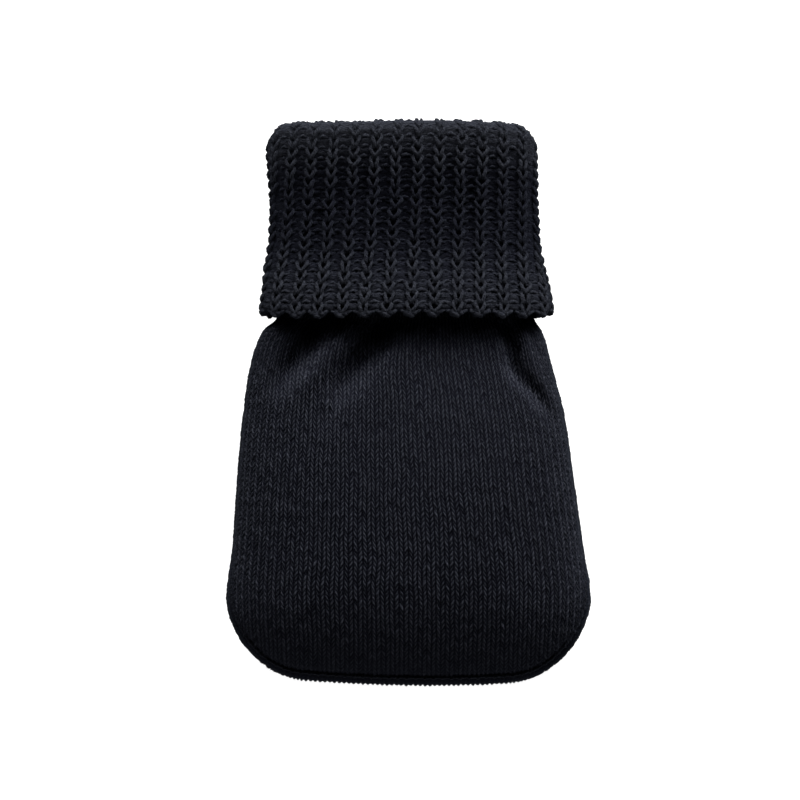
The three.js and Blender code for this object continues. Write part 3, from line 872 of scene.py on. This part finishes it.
def wale_spacing():
    """Shares of the width, from -1 to 1, that part the face into even lengths at one height."""
    across = np.linspace(-1, 1, 801)
    x = across_pouch(across, SPACING_Y, seam_inset(SPACING_Y))
    length = running_length(x, face_height(x, SPACING_Y + 0.0 * x))
    print("a stitch of the face is", round(length[-1] / FRONT_WALES, 2), "mm wide")
    return length / length[-1] * FRONT_WALES, across


SPACED_WALES, SPACED_SHARES = wale_spacing()


def front_row_y(course):
    """The y of a course number: courses are even along the curve of the face's middle."""
    y = np.linspace(POUCH_TOP + 3, POUCH_BOTTOM, 1200)
    length = running_length(y, face_height(0.0 * y, y))
    start = np.interp(-POUCH_TOP, -y, length)
    return np.interp(start + COURSE * course, length, y, right=POUCH_BOTTOM - 1)


def front_column_x(wale, y):
    """The x of a wale number at y: its share of the way between the two seams. The columns
    wander a little, less towards the sides and the bottom."""
    across = np.interp(wale, SPACED_WALES, SPACED_SHARES)
    x = across_pouch(across, y, seam_inset(y))
    held = (1 - across**2) * ramp(*WANDER_FADE, y)
    return x + slow_waves(x, y, WANDER_SEED, WANDER, WANDER_WAVE) * held


front_columns = np.arange(FRONT_WALES * COLUMNS_A_STITCH + 1) / COLUMNS_A_STITCH
front_ends = column_end(np.interp(front_columns, SPACED_WALES, SPACED_SHARES), seam_inset)
front = add_panel(
    "front_panel_knit", front_place, 1, FRONT_WALES, 4, FRONT_COURSES,
    front_row_y, front_column_x, front_ends, seam_inset, FRONT_SEED,
)
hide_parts("front_panel")

# %% [markdown]
# ## The back panel
#
# The back is knitted like the front but is wider, because it also covers the edge all round.
# It is laid out flat, and each of its places is then carried round the edge by the table.

# %% Back panel
BACK_WALES = 47
BACK_COURSES = 96
BACK_SEED = 12


def back_row_y(course):
    """The flat y of a course number."""
    return POUCH_TOP - COURSE * course


def back_column_x(wale, y):
    """The flat x of a wale number at y: its share of the way between the two seams."""
    return across_pouch(2 * wale / BACK_WALES - 1, y, flat_seam_inset(y))


back_columns = np.arange(BACK_WALES * COLUMNS_A_STITCH + 1) / COLUMNS_A_STITCH
back_ends = column_end(2 * back_columns / BACK_WALES - 1, flat_seam_inset)
back = add_panel(
    "back_panel_knit", back_place, -1, BACK_WALES, 3, BACK_COURSES,
    back_row_y, back_column_x, back_ends, flat_seam_inset, BACK_SEED,
)
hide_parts("back_panel")

# %% [markdown]
# ## The collar as a coordinate system
#
# The collar is a ring of rib that comes up inside as the neck, folds over at the mouth and
# hangs down outside as the cuff. To place yarn on it, three numbers are enough: how far round
# the ring, how far along the rib from the free edge, and how far out of the cloth. One function
# turns them into a place, so every course of yarn follows the ring, the fold and the flare.
# A last table says how deep the front loops and the back loops of the rib lie along the way:
# halfway down the cuff the ribs draw together and the channels between them are deepest, and
# over the fold and at the free edge the rib is spread out and almost flat. Its last two columns
# are painted light and shade, added to the depth that the yarn and the cloth behind it are
# darkened by: the first paints both darker, most of all halfway down the cuff, and the second
# paints the cloth alone lighter over the fold and a little darker in the middle.

# %% Sections of the collar
CUFF = sections(
    "y left right face back cloth",
    (74.0, -36.5, 33.1, 19.2, -0.6, 3.2),
    (65.1, -37.2, 33.7, 19.2, -0.6, 3.2),
    (52.7, -37.2, 34.7, 19.0, -0.6, 3.2),
    (38.6, -37.6, 35.7, 20.3, -0.6, 3.2),
    (29.3, -38.5, 37.1, 22.5, -0.6, 2.9),
    (25.0, -38.9, 37.7, 23.2, -0.5, 2.5),
    (20.0, -38.2, 37.4, 22.9, -0.2, 2.4),
)
NECK = sections(
    "y left right face back",
    (74.0, -32.7, 29.3, 15.4, 3.2),
    (65.1, -33.2, 29.8, 15.4, 3.2),
    (52.7, -33.3, 30.8, 15.2, 3.3),
    (38.6, -33.6, 31.6, 16.1, 3.5),
    (26.0, -33.8, 31.9, 17.0, 3.9),
)
RIBS = 28
RIB_START = 0.43
RIB_LEAN = 0.0143
RIB_LEAN_LEVEL = 30.0
TURN_RADIUS = 3.1
TURN_Y = 70.4
TURN_CORNER_DROP = 4.0
CORNER_SHARPNESS = 16
EDGE_Y = 21.4
EDGE_LIFT = 0.7
SLOW_WAVE = 0.3
SLOW_WAVES = 4
SLOW_START = 2.2
NECK_CLOTH = 2.4
NECK_BOTTOM = 26.3
CUFF_LENGTH = TURN_Y - EDGE_Y
TURN_LENGTH = math.pi * TURN_RADIUS
NECK_LENGTH = TURN_Y - NECK_BOTTOM
RING_HALF = np.array([36.0, 9.8])


def ring_unit(angle):
    """The unit section of the ring, a boxy ellipse: cosine and sine to the power 2 / n."""
    turned = np.stack([np.cos(angle), np.sin(angle)], -1)
    return np.sign(turned) * np.abs(turned) ** (2 / ROUNDNESS)


RING_ANGLES = np.linspace(0, 2 * math.pi, 1441)
RING_LENGTHS = running_length(*(ring_unit(RING_ANGLES) * RING_HALF).T)
print("a rib is", round(RING_LENGTHS[-1] / RIBS, 2), "mm wide in the middle of the collar")


def ring_angle(share):
    """The angle at a share of the way round, from the middle of the face, in even lengths."""
    whole = RING_LENGTHS[-1]
    return np.interp((whole / 4 + share * whole) % whole, RING_LENGTHS, RING_ANGLES)


def ring_place(table, angle, y, inset):
    """A place on a section of the ring, moved in by inset, square to its outer face: each part
    of the outward step is the unit section's to the power n - 1, over the half size."""
    low = np.stack([along(table, "left", y), along(table, "back", y)], -1)
    high = np.stack([along(table, "right", y), along(table, "face", y)], -1)
    unit = ring_unit(angle)
    half = (high - low) / 2
    outward = to_unit(np.sign(unit) * np.abs(unit) ** (ROUNDNESS - 1) / half)
    across = (low + high) / 2 + unit * half - outward * np.asarray(inset)[..., None]
    return np.stack([across[..., 0], y, across[..., 1]], -1)


def ring_levels(angle):
    """The y of the fold and of the free edge at an angle. Both give way at the two sides."""
    sideways = np.abs(np.cos(angle)) ** CORNER_SHARPNESS
    wave = SLOW_WAVE * np.sin(SLOW_WAVES * angle + SLOW_START)
    return TURN_Y - TURN_CORNER_DROP * sideways + wave, EDGE_Y + EDGE_LIFT * sideways + wave / 2


def cuff_place(angle, y, inset):
    """A place on the cuff, lifted by what the outer side of the cloth there would lie under
    the floor."""
    place = ring_place(CUFF, angle, y, inset)
    place[..., 2] += np.maximum(-ring_place(CUFF, angle, y, 0.0)[..., 2], 0)
    return place


def lean_at(rib_y):
    """Share of the way round by which the ribs are moved on: they lean a little to the left
    on their way down the cuff, and lie in their own place at one level of it."""
    return RIB_LEAN * (RIB_LEAN_LEVEL - np.minimum(rib_y, CUFF_LENGTH)) / RIBS


def collar_place(share, rib_y, out):
    """A place of the collar: share of the way round, length along the rib from the free edge,
    and distance out of the cloth. It runs up the cuff, over a half circle at the fold whose
    middle lies between the two layers, and down inside the neck."""
    angle = ring_angle(share + lean_at(rib_y))
    turn_y, edge_y = ring_levels(angle)
    up = np.clip(rib_y, None, CUFF_LENGTH) / CUFF_LENGTH
    cuff_y = edge_y + up * (turn_y - edge_y)
    cuff = cuff_place(angle, cuff_y, -out)
    down = np.clip(rib_y - CUFF_LENGTH - TURN_LENGTH, 0, None) / NECK_LENGTH
    neck_y = turn_y - down * (turn_y - NECK_BOTTOM)
    neck = ring_place(NECK, angle, neck_y, NECK_CLOTH + out)
    turned = np.clip((rib_y - CUFF_LENGTH) / TURN_RADIUS, 0, math.pi)
    outer = (1 + np.cos(turned)) / 2
    folded = neck * (1 - outer[..., None]) + cuff * outer[..., None]
    folded[..., 1] = np.where(turned >= math.pi, neck_y, cuff_y)
    folded[..., 1] += (TURN_RADIUS + out) * np.sin(turned)
    return folded


def collar_out(share, rib_y):
    """Unit vectors out of the cloth: the difference between two distances out of it."""
    return to_unit(collar_place(share, rib_y, 0.0) - collar_place(share, rib_y, -1.0))


# Painted light and shade: the last two columns add painted shade to the depth attribute of the yarn
# and the cloth, and the last one paints the cloth lighter over the fold.
RIB_DEPTHS = sections(
    "y front back dive under_rib under_channel bumps shade fill",
    (104, 0.0, 0.2, 0.6, 1.0, 1.2, 0.0, 0.3, 0.0),
    (62, 0.0, 0.4, 0.6, 0.62, 0.75, 0.15, 0.6, -0.9),
    (50, 0.0, 0.4, 0.6, 0.62, 0.75, 0.25, 0.6, -0.9),
    (46, 0.0, 0.6, 0.8, 0.95, 1.2, 0.45, 0.5, -0.4),
    (41, 0.3, 1.2, 1.0, 1.50, 2.0, 0.5, 0.7, 0.0),
    (34, 0.6, 1.7, 1.0, 2.00, 2.6, 0.4, 2.2, 0.3),
    (22, 0.6, 1.7, 1.0, 2.00, 2.6, 0.4, 2.1, 0.3),
    (15, 0.2, 1.2, 1.0, 1.75, 2.0, 0.5, 1.1, 0.0),
    (9.5, 0.0, 0.6, 0.9, 1.50, 1.4, 0.6, 0.9, 0.0),
    (5, -0.1, 0.3, 0.9, 1.40, 1.1, 0.6, 0.8, 0.0),
    (0, -0.1, 0.3, 0.9, 1.40, 1.1, 0.6, 0.8, 0.0),
)


# %% [markdown]
# ## The loops of the rib
#
# One by one rib is a single yarn that knits a loop to the front, a loop to the back, and so on
# round the ring, each course hooked into the one before. The front loops stand up as chains of
# open cups and the back ones sink between them, so here the yarn itself is modelled, as a tube.
# Its line is the classic curve of a knitted loop: it leans out and back twice while it goes up
# and down once, and it comes forward at the two legs and dives behind at the head and the foot.

# %% Loops of the rib
RIB_COURSE = 2.69
FIRST_COURSE = 2.9
YARN_RADIUS = 0.47
LOOP_SWING = 0.80
LOOP_RISE = 1.95
LOOP_DEPTH = 0.6
RIB_PITCH = 6.05
TWIST = 0.3
UNEVEN_YARN = 0.13
UNEVEN_YARN_WAVE = 11.0
UNEVEN_YARN_SEED = 41
UNEVEN_FIBRES = 0.11
UNEVEN_FIBRES_SEED = 42
COURSE_OFFSET = 0.37
EDGE_MIDDLE = 2.15
EDGE_SCALLOP = 0.62
EDGE_TUCK = 0.3
UNEVEN_SWING = 0.20
UNEVEN_RISE = 0.20
UNEVEN_SHIFT = 0.045
UNEVEN_OUT = 0.14
MOST_COURSES = 64
CROSSING = (0.7 * math.pi, 1.3 * math.pi)


def edge_line(share):
    """How far up the rib the free edge runs: it hangs lowest at the ribs and is drawn up at the
    channels between them, as the middle less the scallop times a squared-off cosine of the
    rib's phase, tanh(2 cos) / tanh(2)."""
    wave = np.tanh(2 * np.cos(2 * math.pi * (RIBS * share - RIB_START))) / math.tanh(2)
    return EDGE_MIDDLE - EDGE_SCALLOP * wave


def loop_line(course, knit_points, purl_points, seed):
    """The yarn of some courses as share, rib_y and out, in arrays of course by point. With t
    from -pi to pi in each loop: share goes on evenly plus swing times sin 2t, rib_y is the rise
    times cos t, and out is the dive times cos 2t, with its sign turned round in a back loop.
    Between a front and a back loop the yarn crosses the cloth in a smooth step."""
    knit_t = np.linspace(-math.pi, math.pi, knit_points, endpoint=False)
    purl_t = np.linspace(-math.pi, math.pi, purl_points, endpoint=False)
    t = np.tile(np.concatenate([knit_t, purl_t]), RIBS)
    to_back = np.tile(np.repeat([0.0, 1.0], [knit_points, purl_points]), RIBS)
    rib = np.repeat(np.arange(RIBS), knit_points + purl_points)
    loop = (2 * rib + to_back).astype(int)
    random = np.random.default_rng(seed).normal(0, 1, (4, MOST_COURSES, 2 * RIBS))
    random = random[:, course[:, None], loop[None, :]]
    held = np.cos(t / 2) ** 2
    swing = LOOP_SWING / RIB_PITCH * (1 + UNEVEN_SWING * random[0])
    centre = rib + RIB_START + to_back / 2 + UNEVEN_SHIFT * random[1] * held
    around = centre + t / (4 * math.pi) + swing * np.sin(2 * t)
    rib_y = FIRST_COURSE + RIB_COURSE * course[:, None] + LOOP_RISE * np.cos(t)
    rib_y = rib_y + UNEVEN_RISE * random[2] * held
    share = around / RIBS
    rib_y = np.maximum(rib_y, edge_line(share) - EDGE_TUCK)
    dive = LOOP_DEPTH * along(RIB_DEPTHS, "dive", rib_y)
    front = -YARN_RADIUS - along(RIB_DEPTHS, "front", rib_y) - dive * (1 + np.cos(2 * t))
    behind = -YARN_RADIUS - along(RIB_DEPTHS, "back", rib_y) - dive * (1 - np.cos(2 * t))
    crossing = ramp(*CROSSING, np.abs(t))
    back_share = np.where(to_back > 0, 1 - crossing, crossing)
    out = front * (1 - back_share) + behind * back_share + UNEVEN_OUT * random[3] * held
    return share, rib_y, out


def add_tubes(name, line, away, depth, radius, sides):
    """Closed tubes along rows of places: each place gets a circle, square to the line, made
    from the line's direction and a direction out of the cloth: line plus radius times the
    cosine of the way round, upwards, and its sine, sideways. The yarn is spun a little
    unevenly, so slow waves along it change its radius, and each place of it a little more by
    chance, as loose fibres do. The UV map is the length along the yarn and the way round it,
    turned on by the twist of the plies."""
    forward = to_unit(np.roll(line, -1, axis=1) - np.roll(line, 1, axis=1))
    aside = to_unit(np.cross(forward, away))
    up = np.cross(aside, forward)
    turn = math.pi + 2 * math.pi * np.arange(sides) / sides
    circle = np.cos(turn)[:, None] * up[..., None, :] + np.sin(turn)[:, None] * aside[..., None, :]
    courses, points = line.shape[:2]
    run = np.arange(points) + COURSE_OFFSET * points * np.arange(courses)[:, None]
    radius = radius * (1 + slow_waves(run, 0 * run, UNEVEN_YARN_SEED, UNEVEN_YARN, UNEVEN_YARN_WAVE))
    random = np.random.default_rng(UNEVEN_FIBRES_SEED)
    radius = radius[..., None] * random.normal(1, UNEVEN_FIBRES, (courses, points, sides))
    places = line[..., None, :] + radius[..., None] * circle
    # Painted shade: the side of the yarn that faces into the cloth is painted darker than its top.
    depth = depth[..., None] - radius * np.cos(turn)
    numbers = np.arange(courses * points * sides).reshape(courses, points, sides)
    beside = np.roll(numbers, -1, axis=2)
    faces = cut_cells(numbers, beside, np.roll(beside, -1, axis=1), np.roll(numbers, -1, axis=1))
    steps = np.linalg.norm(np.roll(line, -1, axis=1) - line, axis=-1)
    run = np.concatenate([np.zeros((courses, 1)), np.cumsum(steps, axis=1)], axis=1)
    here = np.broadcast_to(run[:, :-1, None], numbers.shape)
    ahead = np.broadcast_to(run[:, 1:, None], numbers.shape)
    sector = np.broadcast_to(np.arange(sides) / sides, numbers.shape)
    lengths = cut_cells(here, here, ahead, ahead)
    ways_round = cut_cells(sector, sector + 1 / sides, sector + 1 / sides, sector) + TWIST * lengths
    uv = np.stack([lengths.ravel(), ways_round.ravel()], -1)
    places = places.reshape(-1, 3)
    return add_piece(name, places, faces, uv, depth.ravel(), rib_yarn, uv_a_corner=True)


def yarn_tubes(name, share, rib_y, out, radius, sides):
    """Yarn in the collar's own coordinates, as tubes."""
    line = collar_place(share, rib_y, out)
    # Painted shade: the yarn's depth out of the cloth plus the table's painted shade darkens its
    # colour.
    depth = along(RIB_DEPTHS, "shade", rib_y) - out
    return add_tubes(name, line, collar_out(share, rib_y), depth, radius, sides)


CUFF_COURSES = np.arange(0, 18)
TURN_COURSES = np.arange(18, 37)
cuff_yarn = yarn_tubes("cuff_yarn", *loop_line(CUFF_COURSES, 14, 10, 21), YARN_RADIUS, 6)
neck_yarn = yarn_tubes("neck_yarn", *loop_line(TURN_COURSES, 12, 8, 22), YARN_RADIUS, 5)

# %% [markdown]
# ## The cast-on edge
#
# Knitting starts from a cast-on row, a pair of strands twisted round each other that the first
# loops grow out of. On this cover it is the free edge of the cuff. It is drawn up between the
# ribs and bulges at each of them, so the edge looks like a row of small lumps.

# %% Cast-on edge
EDGE_POINTS = 28
EDGE_TWISTS = 2
EDGE_YARN_RADIUS = 0.54
EDGE_SPREAD = 0.45
EDGE_DRAWN_IN = 0.75
EDGE_THICKER = 0.16
EDGE_UNITS = 400
UNEVEN_EDGE = 0.16
UNEVEN_TWIST = 0.5


def cast_on_lines():
    """Two strands round the ring, half a turn apart: rib_y and out are the edge's own plus the
    spread times the sine and the cosine of the twist's angle."""
    share = np.arange(RIBS * EDGE_POINTS)[None, :] / (RIBS * EDGE_POINTS) + np.zeros((2, 1))
    along_edge = EDGE_UNITS * share
    closing = np.sin(math.pi * share) ** 2
    wander = slow_waves(along_edge, 0 * share, 32, UNEVEN_TWIST, 12.0) * closing
    angle = 2 * math.pi * EDGE_TWISTS * RIBS * share + wander + np.array([[0.0], [math.pi]])
    uneven = slow_waves(along_edge, 0 * share, 31, UNEVEN_EDGE, 9.0) * closing
    at_rib = np.cos(2 * math.pi * (RIBS * share - RIB_START))
    rib_y = edge_line(share) + uneven + EDGE_SPREAD * np.sin(angle)
    out = EDGE_SPREAD * (np.cos(angle) - 1) - EDGE_YARN_RADIUS - EDGE_DRAWN_IN * (1 - at_rib)
    return share, rib_y, out, EDGE_YARN_RADIUS + EDGE_THICKER * at_rib


cast_on = yarn_tubes("cast_on_edge", *cast_on_lines(), 6)

# %% [markdown]
# ## The cloth under the loops
#
# Behind the open cups the rib is a thick cloth of crossing yarn that is never seen clearly.
# It is a closed ring of its own: ribbed on its outer side, just deep enough that the dark holes
# stay dark, smooth where the cuff lies on the neck, and turned over at the mouth. Between the
# back loops it bulges, uneven from one to the next, where their feet would fill the channel.
# Its colour carries painted shade, darker the deeper it lies, with more painted shade in the
# middle of the cuff and where it is hidden, and painted light over the fold.

# %% Cloth of the collar
LEAST_CLOTH = 0.4
SIDE_FILL = 0.3
SIDE_SHARPNESS = 6
CLOTH_COLUMNS = 8 * RIBS
CUFF_ROWS = 92
TURN_ROWS_OF_CLOTH = 20
NECK_ROWS = 14
INNER_ROWS_OF_CLOTH = 8
NECK_WALL = 0.5
# Painted shade: a fixed dark one for the hidden part of the cloth, and a fixed amount added to the
# outer side's depth.
HIDDEN_PAINTED_SHADE = 2.0
CLOTH_PAINTED_SHADE = 0.4
CLOTH_UV = 1.6
UNEVEN_BUMPS = (0.5, 1.3)


def collar_contour():
    """Places of the ring of cloth and the painted shade that darkens each, in arrays of column by
    point: up the face, over the fold and down the neck, then up between the neck and the cuff and
    down to the free edge. The outer side lies under the loops by a cosine between the depth
    under the ribs and the depth under the channels, less a sine squared for each bump. Its
    painted shade is that depth plus the table's painted light and shade and a fixed amount, and
    the hidden part between the neck and the cuff gets a fixed darker one."""
    share = np.arange(CLOTH_COLUMNS)[:, None] / CLOTH_COLUMNS
    start = edge_line(share) - EDGE_TUCK
    turned = CUFF_LENGTH + TURN_LENGTH
    on_cuff = start + (CUFF_LENGTH - start) * np.linspace(0, 1, CUFF_ROWS)
    on_turn = np.linspace(CUFF_LENGTH, turned, TURN_ROWS_OF_CLOTH)[1:] + 0 * share
    on_neck = np.linspace(turned, turned + NECK_LENGTH, NECK_ROWS)[1:] + 0 * share
    rib_y = np.concatenate([on_cuff, on_turn, on_neck], axis=1)
    share = share + 0 * rib_y
    in_channel = (1 - np.cos(2 * math.pi * (RIBS * share - RIB_START))) / 2
    under_rib = along(RIB_DEPTHS, "under_rib", rib_y)
    under_channel = along(RIB_DEPTHS, "under_channel", rib_y)
    depth = under_rib * (1 - in_channel) + under_channel * in_channel
    head = (rib_y - FIRST_COURSE - LOOP_RISE) / RIB_COURSE
    course = np.floor(head + 0.5).astype(int) % MOST_COURSES
    channel = np.floor(RIBS * share - RIB_START).astype(int) % RIBS
    random = np.random.default_rng(23).uniform(*UNEVEN_BUMPS, (RIBS, MOST_COURSES))
    uneven = random[channel, course]
    between = np.sin(math.pi * head) ** 2 * in_channel**2 * uneven
    depth = depth - along(RIB_DEPTHS, "bumps", rib_y) * between
    cloth = along(CUFF, "cloth", EDGE_Y + np.minimum(rib_y, CUFF_LENGTH))
    depth = np.minimum(depth, cloth - LEAST_CLOTH)
    inside = ramp(CUFF_LENGTH, turned, rib_y)
    depth = np.minimum(depth, depth * (1 - inside) + (NECK_CLOTH - NECK_WALL) * inside)
    sideways = np.abs(np.cos(ring_angle(share + lean_at(rib_y)))) ** SIDE_SHARPNESS
    depth = depth * (1 - SIDE_FILL * sideways * (1 - inside))
    face = collar_place(share, rib_y, -depth)
    angle = ring_angle(share[:, :1] + lean_at(CUFF_LENGTH))
    turn_y, _ = ring_levels(angle)
    levels = np.linspace(0, 1, INNER_ROWS_OF_CLOTH)[None, :]
    neck_y = NECK_BOTTOM + (turn_y - NECK_BOTTOM) * levels
    neck = ring_place(NECK, angle + 0 * neck_y, neck_y, 0.0)
    _, edge_y = ring_levels(ring_angle(share[:, :1] + lean_at(start)))
    cuff_y = turn_y + (edge_y + start - turn_y) * levels
    angle = ring_angle(share[:, :1] + lean_at(cuff_y - EDGE_Y))
    cuff = cuff_place(angle, cuff_y, along(CUFF, "cloth", cuff_y))
    # Painted shade: the hidden part of the ring is painted dark, and the outer side is darkened by
    # its depth plus the table's painted light and shade and a fixed painted shade.
    hidden = np.full((CLOTH_COLUMNS, 2 * levels.size), HIDDEN_PAINTED_SHADE)
    shade = along(RIB_DEPTHS, "shade", rib_y) + along(RIB_DEPTHS, "fill", rib_y)
    shade = shade + depth + CLOTH_PAINTED_SHADE
    return np.concatenate([face, neck, cuff], axis=1), np.concatenate([shade, hidden], axis=1)


def closed_grid(places):
    """Triangles of a grid that closes on itself both ways, and its places in one list."""
    numbers = np.arange(places[..., 0].size).reshape(places.shape[:2])
    up = np.roll(numbers, -1, axis=1)
    beside = np.roll(numbers, -1, axis=0)
    return places.reshape(-1, 3), cut_cells(numbers, up, np.roll(up, -1, axis=0), beside)


contour, contour_painted_shade = collar_contour()
cloth_places, cloth_faces = closed_grid(contour)
cloth_uv = cloth_places[:, :2] / CLOTH_UV
collar_cloth = add_piece(
    "collar_cloth", cloth_places, cloth_faces, cloth_uv, contour_painted_shade, rib_yarn,
)
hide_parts("collar")

# %% [markdown]
# ## The linked seam
#
# The two panels are linked stitch to stitch with one strand that goes round the pouch in a
# small chain. It sinks between the two edges of the cloth and draws them in, which makes the
# dark line just inside the lower outline; the strand, the dip of the seam and the back's rim
# next to it are also painted dark, as painted shade. Here it is one closed strand that runs
# down one side, round the bottom and up the other side, and comes back the same way, crossing
# itself once a stitch.

# %% Linked seam
LINK_STEP = 0.32
LINK_STITCH = 2.3
LINK_SWAY = 0.42
LINK_SINK = 0.95
LINK_SLOPE = -0.6
LINK_RISE = 0.22
LINK_PAINTED_SHADE = 2.1
LINK_RADIUS = 0.36
LINK_TOP = 22.0


def seam_path():
    """Places evenly spaced along the seam, from the left of the neck to the right of it."""
    across = np.sin(np.linspace(-math.pi / 2, math.pi / 2, 400))
    bottom_y = column_end(across, seam_inset)
    bottom_x = across_pouch(across, WIDEST_Y, seam_inset(bottom_y))
    left_y = np.linspace(LINK_TOP, bottom_y[0], 200)[:-1]
    right_y = np.linspace(bottom_y[-1], LINK_TOP, 200)[1:]
    left = along(POUCH, "left", left_y) + seam_inset(left_y)
    right = along(POUCH, "right", right_y) - seam_inset(right_y)
    x = np.concatenate([left, bottom_x, right])
    y = np.concatenate([left_y, bottom_y, right_y])
    length = running_length(x, y)
    even = np.linspace(0, length[-1], int(length[-1] / LINK_STEP))
    return np.interp(even, length, x), np.interp(even, length, y), even


def link_strand():
    """The strand: it sways across the seam as a sine and comes back with the sine turned
    round, and its height follows the face, sunk into the groove."""
    x, y, run = seam_path()
    sway = np.sin(2 * math.pi * run / LINK_STITCH)
    inward_x, inward_y = inward_at(x, y)
    inward = np.stack([inward_x, inward_y, np.full(len(x), LINK_SLOPE)], -1)
    normals = surface_normals(front_place, x, y, 1)
    centre = front_place(x, y) - normals * LINK_SINK
    rise = LINK_RISE * np.cos(4 * math.pi * run / LINK_STITCH)
    aside = inward * (LINK_SWAY * sway)[:, None] + normals * rise[:, None]
    there = centre + aside
    back_again = centre - aside
    line = np.concatenate([there, back_again[::-1]])[None]
    away = np.concatenate([normals, normals[::-1]])[None]
    return line, away


link_line, link_away = link_strand()
# Painted shade: the whole strand gets one fixed painted shade, so it is painted dark.
strand_painted_shade = np.full(link_line.shape[:2], LINK_PAINTED_SHADE)
seam_linking = add_tubes("seam_linking", link_line, link_away, strand_painted_shade, LINK_RADIUS, 5)
